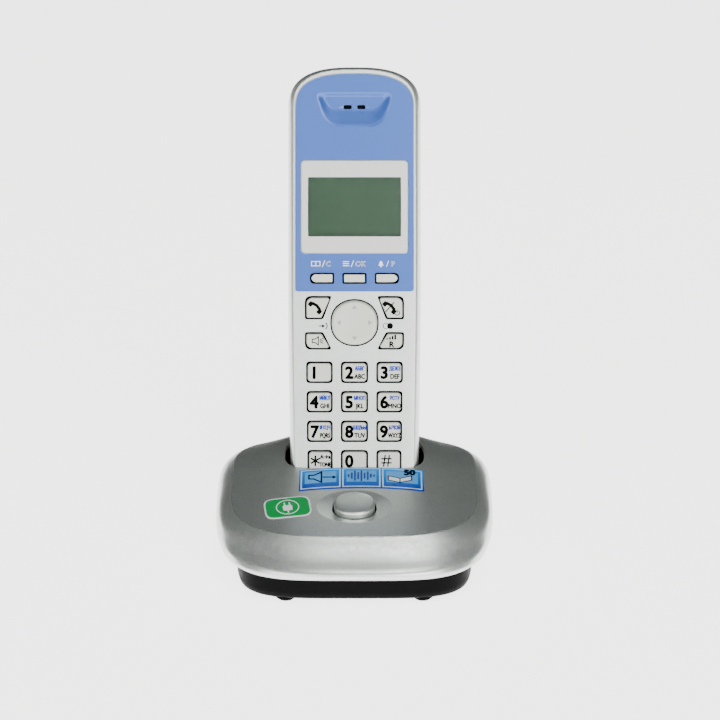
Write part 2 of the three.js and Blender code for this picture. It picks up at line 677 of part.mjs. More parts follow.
function cellSolid() {
  const r = cell.radius;
  const end = cell.length + cell.nubLength;
  const profile = [
    [0, 0], [r - cell.edge, 0], [r, cell.edge], [r, cell.length - cell.edge], [r - cell.edge, cell.length],
    [cell.nubRadius, cell.length], [cell.nubRadius, end], [0, end],
  ];
  const made = new THREE.LatheGeometry(profile.map(([x, y]) => new THREE.Vector2(x, y)), 16);
  return solidOf(made.rotateX(HALF_TURN / 2));
}

function speaker(radius, height, rim) {
  const shoulder = height / 2;
  const profile = [
    [0, 0], [radius, 0], [radius, shoulder], [radius - rim, shoulder * 1.2], [radius - rim, height],
    [0, height],
  ];
  return solidOf(new THREE.LatheGeometry(profile.map(([x, y]) => new THREE.Vector2(x, y)), 16));
}

// Width of the boards and the mat inside the front casing.
const innerWidth = handset.width - 2 * (handset.sideTaper + handset.wall + mat.sideMargin);

// The rubber mat under the keys, with a notch at its lower corner.
function keypadMat() {
  const height = place.panelBottom + mat.above - mat.bottom;
  const sheet = block(innerWidth, mat.thickness, height, 0, mat.top, mat.bottom);
  const { width, height: cut, inset } = mat.notch;
  const x = innerWidth / 2 - inset;
  return sheet.subtract(block(width, REACH, cut + REACH, x, mat.top - REACH / 2, mat.bottom - REACH));
}

function handsetBoard() {
  const length = handset.length - board.fromTop - board.bottom;
  const sheet = block(innerWidth, board.thickness, length, 0, board.top, board.bottom);
  const radius = earpiece.radius + board.speakerGap;
  const hole = new THREE.CylinderGeometry(radius, radius, handset.thickness * 2, 20);
  return sheet.subtract(solidOf(hole.translate(0, 0, place.earpiece)));
}

// The window, the display behind it and its light guide down to the circuit board.
function displayStack() {
  const { width, height, radius, glassThickness, cellThickness, viewWidth, viewHeight, viewRadius } = display;
  const front = glassThickness + GAP;
  const back = front + cellThickness;
  const view = roundedRectangle(viewWidth, viewHeight, viewRadius);
  return {
    glass: facePrism(roundedRectangle(width, height, radius), 0, glassThickness),
    cell: facePrism(view, front, back),
    light: facePrism(view, back + GAP, board.top - GAP),
  };
}

function addElectronics(add) {
  const { glass, cell: crystal, light } = displayStack();
  add('display_window', solidOf(glass), clear, 0, 0, place.display);
  add('lcd_module', solidOf(crystal), lcdGreen, 0, 0, place.view);
  add('display_backlight', solidOf(light), clear, 0, 0, place.view);
  const ear = speaker(earpiece.radius, earpiece.thickness, earpiece.rim);
  add('earpiece_speaker', ear, black, 0, panel.bossDepth + GAP, place.earpiece);
  const ringer = speaker(loudspeaker.radius, loudspeaker.thickness, loudspeaker.rim);
  add('rear_loudspeaker', ringer, black, 0, loudspeaker.depth, handset.length - loudspeaker.fromTop);
  const { radius, thickness, rise } = microphone;
  const voice = solidOf(new THREE.CylinderGeometry(radius, radius, thickness, 14));
  add('microphone', voice, black, 0, handset.faceWall + GAP + thickness / 2, rise);
  add('keypad_mat', keypadMat(), rubber);
  add('handset_circuit_board', handsetBoard(), boardGreen);
}

function addPower(add) {
  const depth = tray.floor + cell.radius + GAP;
  const offset = cell.radius + cell.gap / 2;
  const bottom = tray.low + tray.endSpace;
  add('battery_left', cellSolid(), cellGreen, -offset, depth, bottom);
  const top = bottom + cell.length + cell.nubLength;
  const turned = add('battery_right', cellSolid(), cellGreen, offset, depth, top);
  turned.rotation.y = HALF_TURN;
  const { plateWidth, plateThickness, plateGap } = tray;
  const plate = (z) =>
    block(tray.width - 2 * tray.margin, plateWidth, plateThickness, 0, depth - plateWidth / 2, z);
  add('battery_contact_bottom', plate(tray.low + plateGap), steel);
  add('battery_contact_top', plate(tray.low + tray.height - plateGap - plateThickness), steel);
  for (const [side, name] of [[-1, 'left'], [1, 'right']]) {
    add('handset_charge_pad_' + name, contactPad(0), steel, side * contact.spread);
  }
}

function buildHandset() {
  const add = (name, shape, material, x = 0, y = 0, z = 0) => {
    const mesh = piece(name, shape, material);
    mesh.position.set(x, y, z);
    handsetGroup.add(mesh);
    return mesh;
  };
  add('handset_front_housing', frontHousing(), silver);
  add('handset_rear_housing', rearHousing(), silver);
  add('face_panel', facePanel(), blue);
  add('battery_cover', batteryCover(), silver);
  addElectronics(add);
  addPower(add);
  for (const [side, name] of [[-1, 'left'], [1, 'right']]) {
    const fastener = screwSolid(screw.headRadius, screw.length);
    const depth = handsetThickness(screw.z) - screw.depth;
    const driven = add('handset_screw_' + name, fastener, steel, side * screw.x, depth, screw.z);
    driven.rotation.x = HALF_TURN;
  }
  for (const hole of [...keyHoles, ...softHoles]) {
    const outline = (shrink) => hole.outline(key.gap + shrink);
    const cap = keycap(outline, -hole.proud, key.height - key.proud, key.chamfer);
    add(hole.name, cap, keySilver, hole.x, 0, hole.z);
  }
  const rim = (shrink) => navigatorOutline(-navigator.gap - shrink);
  const disc = keycap(rim, -navigator.proud, navigator.back, navigator.chamfer);
  add('navigator_key', disc, keySilver, 0, 0, place.navigator);
  const { postRadius, postLength } = navigator;
  const post = solidOf(new THREE.CylinderGeometry(postRadius, postRadius, postLength, 14));
  add('navigator_post', post, rubber, 0, navigator.back + GAP + postLength / 2, place.navigator);
}

// ---------------------------------------------------------------- base pieces

// Frame of the sloping top at the locator button: its own Z is square to the top.
const lip = { y: base.depth - handset.seatBack + cradle.lipBehindFace };
const slopeAngle = Math.atan(base.slope);
const buttonSeat = new THREE.Vector3(0, mix(base.ridgeInset, lip.y, locator.share), 0);
buttonSeat.z = topHeight(0, buttonSeat.y);
const topFrame = new THREE.Matrix4().makeRotationX(slopeAngle).setPosition(buttonSeat);
const ontoTop = (solid) => moved(solid, topFrame);

function well(grow, low, high) {
  return intoHandset(solidOf(uprightPrism(wellOutline(grow), low, high)));
}

const FINE = 40; // points round the sloping top where it shows
const COARSE = 28; // and where it doesn't
const SKY = 80; // above everything on the base
const TOWARDS_FLOOR = -6; // how far the well's cut runs below the bottom of the handset

const baseScrewY = base.depth - baseScrew.fromBack;
const baseScrews = [-1, 1].map((side) => ({ side, x: side * baseScrew.x, y: baseScrewY }));

function upperHousing() {
  let made = upperSolid(0, FINE).subtract(upperSolid(base.wall, COARSE));
  made = made.subtract(well(0, TOWARDS_FLOOR, SKY));
  const { dishHeight, dishDepth, dishWidth, dishLength } = locator;
  const section = Math.sqrt(1 - ((dishHeight - dishDepth) / dishHeight) ** 2);
  const dish = new THREE.SphereGeometry(1, 24, 12);
  dish.scale(dishWidth / 2 / section, dishLength / 2 / section, dishHeight);
  made = made.subtract(ontoTop(solidOf(dish.translate(0, 0, dishHeight - dishDepth))));
  const hole = flattenedCircle(locator.width / 2 + locator.gap, locator.flat + locator.gap);
  made = made.subtract(ontoTop(solidOf(uprightPrism(hole, -2 * REACH, 2 * REACH))));
  const inside = upperSolid(base.wall / 2, COARSE).subtract(well(cradle.wall + GAP, -SKY, SKY));
  const { postRadius, postBottom, boreRadius, length } = baseScrew;
  for (const { x, y } of baseScrews) {
    const post = pin(postRadius, SKY, x, y, postBottom);
    const bore = pin(boreRadius, length + REACH, x, y, postBottom - 1, 10);
    made = made.add(post.intersect(inside)).subtract(bore);
  }
  return made;
}

function lowerHousing() {
  let made = tubSolid(0, 32).subtract(tubSolid(tub.wall, COARSE));
  for (const socket of [lineSocket, powerSocket]) {
    const { width, depth, height, x } = socket;
    const low = socketHeight - GAP;
    made = made.subtract(block(width + 2 * GAP, depth + REACH, height + 2 * GAP, x, base.depth - depth, low));
  }
  const { bossRadius, bossHeight, recessRadius, recessDepth, shankRadius } = baseScrew;
  for (const { x, y } of baseScrews) {
    made = made.add(pin(bossRadius, bossHeight, x, y, tub.floorHeight + 0.1));
    made = made.subtract(pin(recessRadius, recessDepth + REACH, x, y, -REACH));
    made = made.subtract(pin(shankRadius, 2 * recessDepth + REACH, x, y, -REACH, 12));
  }
  for (let i = 0; i < vent.count; i++) {
    const opening = roundedRectangle(vent.width, vent.height, vent.height / 2);
    const slot = uprightPrism(opening, 0, 2 * REACH - 2, 2);
    made = made.subtract(solidOf(slot.translate(0, vent.front + i * vent.pitch, 0)));
  }
  return made;
}

function liner() {
  const floor = -cradle.floorGap;
  let made = well(cradle.wall, floor - cradle.wall, SKY - 2).subtract(well(0, floor, SKY));
  made = made.intersect(upperSolid(base.wall + GAP, COARSE));
  const { width, depth, setBack, slotClearance } = contact;
  for (const side of [-1, 1]) {
    const slot = block(
      width + 2 * slotClearance, depth + 2 * slotClearance, 3 * REACH,
      side * contact.spread, setBack - slotClearance, floor - 2 * REACH,
    );
    made = made.subtract(intoHandset(slot));
  }
  return made;
}

function locatorButton() {
  const { skirt, proud, edge, crown, crownInset, stemRadius } = locator;
  const outline = (inset) => flattenedCircle(locator.width / 2 - inset, locator.flat - inset, 28);
  const ring = (inset, height, share = 1) => outline(inset).getPoints(1)
    .map((point) => new THREE.Vector3(point.x * share, point.y * share, height));
  const cap = loft([
    ring(0, -skirt, 0), ring(0, -skirt), ring(0, proud - edge), ring(edge, proud),
    ring(crownInset, proud + crown), ring(crownInset, proud + crown + 0.1, 0),
  ]);
  const stem = uprightPrism(flattenedCircle(stemRadius, stemRadius, 14), -stemLength, edge - skirt);
  return cap.add(solidOf(stem));
}

// The stem reaches down square to the top, to just above the switch on the board.
const switchTop = baseBoard.height + board.thickness + tact.height;
const stemLength = (buttonSeat.z - switchTop - locator.travel - locator.stemPlay) / Math.cos(slopeAngle);
const socketHeight = tub.floorHeight + tub.wall + GAP;

function tactSwitch() {
  const y = buttonSeat.y + stemLength * Math.sin(slopeAngle);
  const low = baseBoard.height + board.thickness + GAP;
  const { width, height, buttonWidth, buttonRise, play } = tact;
  const body = block(width, width, height - buttonRise, 0, y - width / 2, low);
  return body.add(block(buttonWidth, buttonWidth, height - play, 0, y - buttonWidth / 2, low));
}

function lineSocketSolid() {
  const { width, depth, height, x, mouthWidth, mouthHeight, mouthDepth, latch } = lineSocket;
  const back = base.depth - socketBack;
  const low = socketHeight + (height - mouthHeight) / 2;
  const mouth = back - mouthDepth;
  return block(width, depth, height, x, back - depth, socketHeight)
    .subtract(block(mouthWidth, mouthDepth + 1, mouthHeight, x, mouth, low))
    .subtract(block(latch.width, mouthDepth + 1, latch.height, x, mouth, low - latch.drop));
}

function powerSocketSolid() {
  const { width, depth, height, x, boreRadius, boreDepth, pinRadius, pinShort } = powerSocket;
  const back = base.depth - socketBack;
  const along = (radius, length, start, sides) =>
    solidOf(new THREE.CylinderGeometry(radius, radius, length, sides)
      .translate(x, start + length / 2, socketHeight + height / 2));
  const made = block(width, depth, height, x, back - depth, socketHeight);
  const bore = along(boreRadius, boreDepth + 1, back - boreDepth, 18);
  return made.subtract(bore).add(along(pinRadius, boreDepth - pinShort + 1, back - boreDepth - 1, 10));
}

function footSolid() {
  const { radius, padRadius, padHeight, padEdge, sink } = foot;
  const top = tub.floorHeight - sink;
  const edge = padRadius + padEdge;
  const profile = [
    [0, 0], [padRadius, 0], [edge, padEdge], [edge, padHeight], [radius, padHeight], [radius, top], [0, top],
  ];
  const points = profile.map(([x, y]) => new THREE.Vector2(x, y));
  return solidOf(new THREE.LatheGeometry(points, 14).rotateX(HALF_TURN / 2));
}

// A thin label lying just above the sloping top, cut to an outline seen from above.
function labelSolid(shape, x, y, turn = 0) {
  const cutter = uprightPrism(shape, 0, SKY, 3).rotateZ(turn).translate(x, y, 0);
  const high = upperSolid(-label.lift - label.thickness, FINE);
  return high.subtract(upperSolid(-label.lift, FINE)).intersect(solidOf(cutter));
}

function featureOutline() {
  const { width, length, frontBow, backBow, toLip } = featureLabel;
  const front = -toLip - frontBow / 2;
  const back = front + length;
  const shape = new THREE.Shape();
  shape.moveTo(-width / 2, front);
  shape.quadraticCurveTo(0, front + frontBow, width / 2, front);
  shape.lineTo(width / 2, back);
  shape.quadraticCurveTo(0, back + backBow, -width / 2, back);
  shape.closePath();
  return shape;
}

function baseCircuitBoard() {
  const width = base.width - 2 * (tub.sideInset + tub.wall + baseBoard.margin);
  const shape = roundedRectangle(width, baseBoard.depth, baseBoard.radius);
  const centre = baseBoard.front + baseBoard.depth / 2;
  const sheet = uprightPrism(shape, 0, board.thickness, 3).translate(0, centre, baseBoard.height);
  let made = solidOf(sheet);
  const radius = baseScrew.bossRadius + baseBoard.screwClearance;
  for (const { x, y } of baseScrews) made = made.subtract(pin(radius, SKY, x, y, -REACH));
  return made;
}

function buildBase(group) {
  const add = (name, shape, material, x = 0, y = 0, z = 0) => {
    const mesh = piece(name, shape, material);
    mesh.position.set(x, y, z);
    group.add(mesh);
  };
  add('base_upper_housing', upperHousing(), silver);
  add('base_lower_housing', lowerHousing(), black);
  add('cradle_liner', liner(), black);
  add('locator_button', ontoTop(locatorButton()), silver);
  add('locator_switch', tactSwitch(), black);
  add('base_circuit_board', baseCircuitBoard(), boardGreen);
  const footX = base.width / 2 - tub.sideInset - foot.inset;
  for (const [side, name] of [[-1, 'left'], [1, 'right']]) {
    const { width, depth, length, spread, setBack, padHeight } = contact;
    const blade = block(width, depth, length, side * spread, setBack, padHeight - GAP - length);
    add('charge_contact_' + name, intoHandset(blade), steel);
    for (const [end, y] of [['front', foot.frontInset], ['rear', base.depth - foot.backInset]]) {
      add(`foot_${end}_${name}`, footSolid(), rubber, side * footX, y, 0);
    }
  }
  for (const { side, x, y } of baseScrews) {
    const upright = new THREE.Matrix4().makeRotationX(HALF_TURN / 2);
    const fastener = moved(screwSolid(baseScrew.headRadius, baseScrew.length), upright);
    const name = 'base_screw_' + (side < 0 ? 'left' : 'right');
    add(name, fastener, steel, x, y, tub.floorHeight + baseScrew.rise);
  }
  add('line_socket', lineSocketSolid(), black);
  add('power_socket', powerSocketSolid(), black);
  add('feature_label', labelSolid(featureOutline(), featureLabel.x, lip.y), labelBlue);
  const { width, height, radius, x, behind, turn } = energyLabel;
  const leaf = roundedRectangle(width, height, radius);
  add('energy_label', labelSolid(leaf, x, buttonSeat.y + behind, turn), labelGreen);
}

// ---------------------------------------------------------------- the object

const telephone = new THREE.Group();
const standing = new THREE.Group();
telephone.add(standing);
buildBase(standing);
buildHandset();
standing.add(handsetGroup);

const bounds = new THREE.Box3().setFromObject(standing, true);
const centre = bounds.getCenter(new THREE.Vector3());
standing.position.set(-centre.x, -centre.y, -bounds.min.z);

export default telephone;
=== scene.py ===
import json
import logging
import math
from dataclasses import dataclass, field
from enum import Enum
from typing import Callable, Sequence

import bmesh
import bpy
from mathutils import Matrix, Vector


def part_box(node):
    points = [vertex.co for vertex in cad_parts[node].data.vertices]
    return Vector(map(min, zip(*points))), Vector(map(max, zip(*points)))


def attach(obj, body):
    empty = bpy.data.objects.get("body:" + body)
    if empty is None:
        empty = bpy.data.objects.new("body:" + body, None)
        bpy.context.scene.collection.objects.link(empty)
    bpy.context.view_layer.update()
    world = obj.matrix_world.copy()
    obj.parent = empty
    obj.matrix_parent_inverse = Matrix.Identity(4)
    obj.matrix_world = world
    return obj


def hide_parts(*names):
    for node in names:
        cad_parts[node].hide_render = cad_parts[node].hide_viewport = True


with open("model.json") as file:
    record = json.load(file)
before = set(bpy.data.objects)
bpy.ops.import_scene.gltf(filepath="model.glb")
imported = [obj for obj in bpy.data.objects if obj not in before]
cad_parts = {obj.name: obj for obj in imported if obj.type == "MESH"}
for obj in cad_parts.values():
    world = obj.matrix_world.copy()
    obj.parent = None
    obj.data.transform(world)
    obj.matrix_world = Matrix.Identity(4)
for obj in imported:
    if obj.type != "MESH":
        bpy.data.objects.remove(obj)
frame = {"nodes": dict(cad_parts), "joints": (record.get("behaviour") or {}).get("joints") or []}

LOG = logging.getLogger("telephone")
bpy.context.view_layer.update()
MM = 0.001

Point = tuple[float, float]
Ring = list[Vector]


# ------------------------------------------------------------------ places from the frame


def joint(name: str) -> dict:
    """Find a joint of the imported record.

    Args:
        name: the joint's name.

    Returns:
        The joint's own entry.
    """
    return next(entry for entry in frame["joints"] if entry["name"] == name)


def handset_place() -> Matrix:
    """Work out the handset's own frame: X across, Y into the body, Z from its bottom end up.

    Returns:
        The matrix from handset millimetres to the row frame in metres.
    """
    along = Vector(joint("handset_lift")["axis"]).normalized()
    inward = Vector(joint("press_key_5")["axis"]).normalized()
    pivot = Vector(joint("navigator_up_down")["pos_m"])
    origin = pivot - inward * Layout.pivot_depth * MM - along * Layout.navigator * MM
    turn = Matrix((Vector((1, 0, 0)), inward, along)).transposed().to_4x4()
    return Matrix.Translation(origin) @ turn @ Matrix.Scale(MM, 4)


def base_place() -> Matrix:
    """Work out the base's own frame: Y from the front of its skirt back, Z from the table up.

    Returns:
        The matrix from base millimetres to the row frame in metres.
    """
    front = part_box("base_upper_housing")[0][1]
    return Matrix.Translation((0, front, 0)) @ Matrix.Scale(MM, 4)


class Layout:
    """Heights of the handset's features above its bottom end, in millimetres."""

    first_row = 14.6
    row_pitch = 10.7
    rows = 4
    last_row = first_row + (rows - 1) * row_pitch
    navigator = last_row + 18.0
    pivot_depth = 3.7
    panel_bottom = navigator + 11.3
    soft_keys = panel_bottom + 4.8
    display = panel_bottom + 14.0 + 33.4 / 2
    view = panel_bottom + 14.0 + 6.0 + 21.5 / 2
    earpiece = panel_bottom + 67.2
    length = panel_bottom + 79.3 + 2.5


HANDSET = handset_place()
BASE = base_place()


# ------------------------------------------------------------------ small sums


def signed_power(value: float, power: float) -> float:
    """Raise a number's size to a power and keep its sign."""
    return math.copysign(abs(value) ** power, value)


def mix(start: float, end: float, share: float) -> float:
    """Go a share of the way from one number to another."""
    return start + (end - start) * share


def clamp(value: float, low: float, high: float) -> float:
    """Keep a number between two limits."""
    return max(low, min(high, value))


def smoothstep(value: float, low: float, high: float) -> float:
    """Rise smoothly from 0 at one value to 1 at another."""
    share = clamp((value - low) / (high - low), 0.0, 1.0)
    return share * share * (3 - 2 * share)


def refine(rows: Sequence[Sequence[float]], steps: int) -> list[list[float]]:
    """Put smooth rows between the given ones.

    Args:
        rows: rows of numbers of equal length.
        steps: how many steps to make between two rows.

    Returns:
        The rows with the ones between them, on Catmull-Rom curves.
    """
    made: list[list[float]] = []
    for i in range(len(rows) - 1):
        a, b = rows[max(i - 1, 0)], rows[i]
        c, d = rows[i + 1], rows[min(i + 2, len(rows) - 1)]
        for step in range(steps):
            t = step / steps
            made.append([
                0.5 * (
                    2 * q + (r - p) * t + (2 * p - 5 * q + 4 * r - s) * t * t
                    + (3 * q - p - 3 * r + s) * t ** 3
                )
                for p, q, r, s in zip(a, b, c, d)
            ])
    made.append(list(rows[-1]))
    return made


# ------------------------------------------------------------------ meshes


def link(name: str, mesh: bpy.types.Mesh) -> bpy.types.Object:
    """Put a mesh in the scene as an object at the origin.

    Args:
        name: the object's name.
        mesh: its mesh.

    Returns:
        The new object.
    """
    piece = bpy.data.objects.new(name, mesh)
    bpy.context.scene.collection.objects.link(piece)
    return piece


def from_bmesh(name: str, work: bmesh.types.BMesh, place: Matrix | None = None) -> bpy.types.Object:
    """Turn an edit mesh into an object with its faces pointing out.

    Args:
        name: the object's name.
        work: the edit mesh, which is freed.
        place: where the mesh's own frame lies, if it isn't the row frame.

    Returns:
        The new object.
    """
    if place is not None:
        work.transform(place)
    bmesh.ops.recalc_face_normals(work, faces=work.faces[:])
    mesh = bpy.data.meshes.new(name)
    work.to_mesh(mesh)
    work.free()
    return link(name, mesh)


def loft(
    name: str, rings: Sequence[Ring], place: Matrix, pointed: bool = False
) -> bpy.types.Object:
    """Skin rings of points and close both ends.

    Args:
        name: the object's name.
        rings: rings of equal count, in order.
        place: where the rings' own frame lies.
        pointed: whether the end rings already collapse to a point or a line.

    Returns:
        The closed object.
    """
    work = bmesh.new()
    rows = [[work.verts.new(point) for point in ring] for ring in rings]
    count = len(rings[0])
    for low, high in zip(rows, rows[1:]):
        for i in range(count):
            j = (i + 1) % count
            work.faces.new((low[i], low[j], high[j], high[i]))
    if pointed:
        bmesh.ops.remove_doubles(work, verts=work.verts[:], dist=0.001)
        return from_bmesh(name, work, place)
    for row in (rows[0], rows[-1]):
        centre = work.verts.new(sum((v.co for v in row), Vector()) / count)
        for i in range(count):
            work.faces.new((row[i], row[(i + 1) % count], centre))
    return from_bmesh(name, work, place)


def prism(
    name: str, outline: Sequence[Point], front: float, back: float, place: Matrix
) -> bpy.types.Object:
    """Extrude an outline drawn on the face, between two depths.

    Args:
        name: the object's name.
        outline: the outline in X and Z.
        front: the depth of its near end.
        back: the depth of its far end.
        place: where its own frame lies.

    Returns:
        The closed object.
    """
    rings = [[Vector((x, depth, z)) for x, z in outline] for depth in (front, back)]
    return loft(name, rings, place)


def upright(
    name: str, outline: Sequence[Point], low: float, high: float, place: Matrix
) -> bpy.types.Object:
    """Extrude an outline drawn from above, between two heights.

    Args:
        name: the object's name.
        outline: the outline in X and Y.
        low: the height of its lower end.
        high: the height of its upper end.
        place: where its own frame lies.

    Returns:
        The closed object.
    """
    rings = [[Vector((x, y, height)) for x, y in outline] for height in (low, high)]
    return loft(name, rings, place)


def evaluated(piece: bpy.types.Object) -> bpy.types.Mesh:
    """Copy the mesh that an object's modifiers give."""
    view = bpy.context.evaluated_depsgraph_get()
    return bpy.data.meshes.new_from_object(piece.evaluated_get(view), depsgraph=view)


def bake(piece: bpy.types.Object) -> None:
    """Keep what an object's modifiers give and take them off."""
    mesh = evaluated(piece)
    piece.modifiers.clear()
    old = piece.data
    piece.data = mesh
    bpy.data.meshes.remove(old)


class Join(Enum):
    """Ways to combine two solids."""

    CUT = "DIFFERENCE"
    ADD = "UNION"
    KEEP = "INTERSECT"


def combine(
    piece: bpy.types.Object, *tools: bpy.types.Object, how: Join = Join.CUT
) -> bpy.types.Object:
    """Combine tools with a piece, one after another, and take the tools away.

    Args:
        piece: the object that changes.
        tools: the objects it is combined with.
        how: whether they are cut off, added, or the part inside them is kept.

    Returns:
        The changed piece.
    """
    for tool in tools:
        step = piece.modifiers.new("combine", "BOOLEAN")
        step.solver = "MANIFOLD"
        step.operation = how.value
        step.object = tool
    bake(piece)
    for tool in tools:
        discard(tool)
    return piece


def discard(piece: bpy.types.Object) -> None:
    """Take an object and its mesh out of the file."""
    mesh = piece.data
    bpy.data.objects.remove(piece)
    bpy.data.meshes.remove(mesh)


def smooth(piece: bpy.types.Object, angle: float = 32.0) -> None:
    """Shade a piece smooth, with sharp edges where faces meet at more than some degrees."""
    piece.data.shade_smooth()
    piece.data.set_sharp_from_angle(angle=math.radians(angle))
    step = piece.modifiers.new("normals", "WEIGHTED_NORMAL")
    step.keep_sharp = True
    step.weight = 80
    bake(piece)


def round_edges(
    piece: bpy.types.Object, width: float, angle: float = 40.0, segments: int = 2
) -> None:
    """Round a piece's sharp edges.

    Args:
        piece: the object that changes.
        width: the rounding's width in millimetres.
        angle: the least angle of an edge that is rounded, in degrees.
        segments: the rounding's number of strips.
    """
    step = piece.modifiers.new("edges", "BEVEL")
    step.limit_method = "ANGLE"
    step.angle_limit = math.radians(angle)
    step.width = width * MM
    step.segments = segments
    bake(piece)


def dress(
    piece: bpy.types.Object, finish: "Finish", body: str, slot: str, *nodes: str
) -> bpy.types.Object:
    """Give a piece its finish, the body it rides on and the nodes it stands for.

    Args:
        piece: the finished object.
        finish: its finish, or None where the mesh has its own.
        body: the moving body it rides on.
        slot: the record's material slot; not used.
        nodes: the frame's nodes that it replaces.

    Returns:
        The same object.
    """
    if finish is not None:
        piece.data.materials.clear()
        piece.data.materials.append(finish.build())
    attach(piece, body)
    if nodes:
        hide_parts(*nodes)
    LOG.info("%s: %d faces on %s", piece.name, len(piece.data.polygons), body)
    return piece


# ------------------------------------------------------------------ outlines


def rounded_polygon(
    corners: Sequence[Point], radii: Sequence[float], steps: int = 6
) -> list[Point]:
    """Round a polygon's corners.

    Args:
        corners: the corners, counterclockwise.
        radii: how far each corner's rounding reaches along its sides.
        steps: the number of strips in a corner.

    Returns:
        The outline's points.
    """
    points: list[Point] = []
    for i, corner in enumerate(corners):
        here = Vector(corner)
        before = Vector(corners[i - 1]) - here
        after = Vector(corners[(i + 1) % len(corners)]) - here
        reach = min(radii[i], before.length * 0.45, after.length * 0.45)
        start = here + before.normalized() * reach
        end = here + after.normalized() * reach
        for step in range(steps + 1):
            t = step / steps
            spot = start * (1 - t) ** 2 + here * 2 * t * (1 - t) + end * t * t
            points.append((spot.x, spot.y))
    return points


def rounded_box(
    width: float, height: float, radius: float, x: float = 0.0, y: float = 0.0
) -> list[Point]:
    """Draw a rectangle with rounded corners about a point."""
    w, h = width / 2, height / 2
    corners = [(x - w, y - h), (x + w, y - h), (x + w, y + h), (x - w, y + h)]
    return rounded_polygon(corners, [radius] * 4)


def flattened_circle(radius: float, flat: float, steps: int = 64) -> list[Point]:
    """Draw a circle whose top and bottom are drawn in a little, with soft shoulders."""
    points = []
    for i in range(steps):
        angle = i / steps * math.tau
        points.append((radius * math.cos(angle), flat * signed_power(math.sin(angle), 0.86)))
    return points


def moved(outline: Sequence[Point], x: float, y: float) -> list[Point]:
    """Shift an outline."""
    return [(a + x, b + y) for a, b in outline]


# ------------------------------------------------------------------ finishes


class Nodes:
    """A material's node tree under construction."""

    def __init__(self, name: str) -> None:
        """Start an empty material with a shader and an output."""
        self.material = bpy.data.materials.new(name)
        self.material.use_nodes = True
        self.tree = self.material.node_tree
        self.tree.nodes.clear()
        self.shader = self.add("ShaderNodeBsdfPrincipled")
        output = self.add("ShaderNodeOutputMaterial")
        self.join(self.shader.outputs["BSDF"], output.inputs["Surface"])
        self.place = self.add("ShaderNodeTexCoord").outputs["Object"]

    def add(self, kind: str, **values: object) -> bpy.types.Node:
        """Add a node and set its own properties."""
        node = self.tree.nodes.new(kind)
        for name, value in values.items():
            setattr(node, name, value)
        return node

    def join(self, source: bpy.types.NodeSocket, target: bpy.types.NodeSocket) -> None:
        """Link two sockets."""
        self.tree.links.new(source, target)

    def noise(self, scale: float, detail: float = 2.0) -> bpy.types.NodeSocket:
        """Add a noise pattern on object coordinates and give its value."""
        node = self.add("ShaderNodeTexNoise")
        node.inputs["Scale"].default_value = scale
        node.inputs["Detail"].default_value = detail
        self.join(self.place, node.inputs["Vector"])
        return node.outputs["Fac"]

    def spread(self, value: bpy.types.NodeSocket, low: float, high: float) -> bpy.types.NodeSocket:
        """Map a pattern's middle range to new limits."""
        node = self.add("ShaderNodeMapRange")
        node.inputs["From Min"].default_value = 0.3
        node.inputs["From Max"].default_value = 0.7
        node.inputs["To Min"].default_value = low
        node.inputs["To Max"].default_value = high
        self.join(value, node.inputs["Value"])
        return node.outputs["Result"]

    def blend(
        self, share: bpy.types.NodeSocket, low: Sequence[float], high: Sequence[float]
    ) -> bpy.types.NodeSocket:
        """Mix two colours by a pattern."""
        node = self.add("ShaderNodeMix", data_type="RGBA")
        node.inputs[6].default_value = (*low, 1)
        node.inputs[7].default_value = (*high, 1)
        self.join(share, node.inputs[0])
        return node.outputs[2]


def linear(colour: Sequence[int]) -> tuple[float, float, float]:
    """Turn a display colour from 0 to 255 into a linear one."""
    return tuple(((c / 255 + 0.055) / 1.055) ** 2.4 if c > 10 else c / 255 / 12.92 for c in colour)


@dataclass(frozen=True)
class Finish:
    """A moulded, painted or printed surface with fine variation of colour, gloss and relief."""

    name: str
    colour: tuple[int, int, int]
    roughness: float = 0.5
    metallic: float = 0.0
    coat: float = 0.0
    tint: float = 0.04
    tint_scale: float = 60.0
    grain_scale: float = 3000.0
    grain: float = 0.05
    transmission: float = 0.0
    gloss: float = 0.5
    glow: float = 0.0

    def build(self) -> bpy.types.Material:
        """Make the material once and give it each time after."""
        found = bpy.data.materials.get(self.name)
        if found is not None:
            return found
        nodes = Nodes(self.name)
        shader = nodes.shader.inputs
        shader["Metallic"].default_value = self.metallic
        shader["Coat Weight"].default_value = self.coat
        shader["Coat Roughness"].default_value = 0.08
        shader["Transmission Weight"].default_value = self.transmission
        shader["Specular IOR Level"].default_value = self.gloss
        shader["Emission Color"].default_value = (*linear(self.colour), 1)
        shader["Emission Strength"].default_value = self.glow
        nodes.join(self.shade(nodes), shader["Base Color"])
        rough = nodes.spread(
            nodes.noise(self.tint_scale * 9, 3),
            self.roughness * 0.88,
            min(1, self.roughness * 1.12)
        )
        nodes.join(rough, shader["Roughness"])
        bump = nodes.add("ShaderNodeBump")
        bump.inputs["Strength"].default_value = self.grain
        bump.inputs["Distance"].default_value = 0.02 * MM
        nodes.join(nodes.noise(self.grain_scale, 2), bump.inputs["Height"])
        nodes.join(bump.outputs["Normal"], shader["Normal"])
        return nodes.material

    def shade(self, nodes: Nodes) -> bpy.types.NodeSocket:
        """Vary the colour a little over the surface."""
        base = linear(self.colour)
        low = [c * (1 - self.tint) for c in base]
        high = [min(1, c * (1 + self.tint)) for c in base]
        return nodes.blend(nodes.spread(nodes.noise(self.tint_scale), 0, 1), low, high)


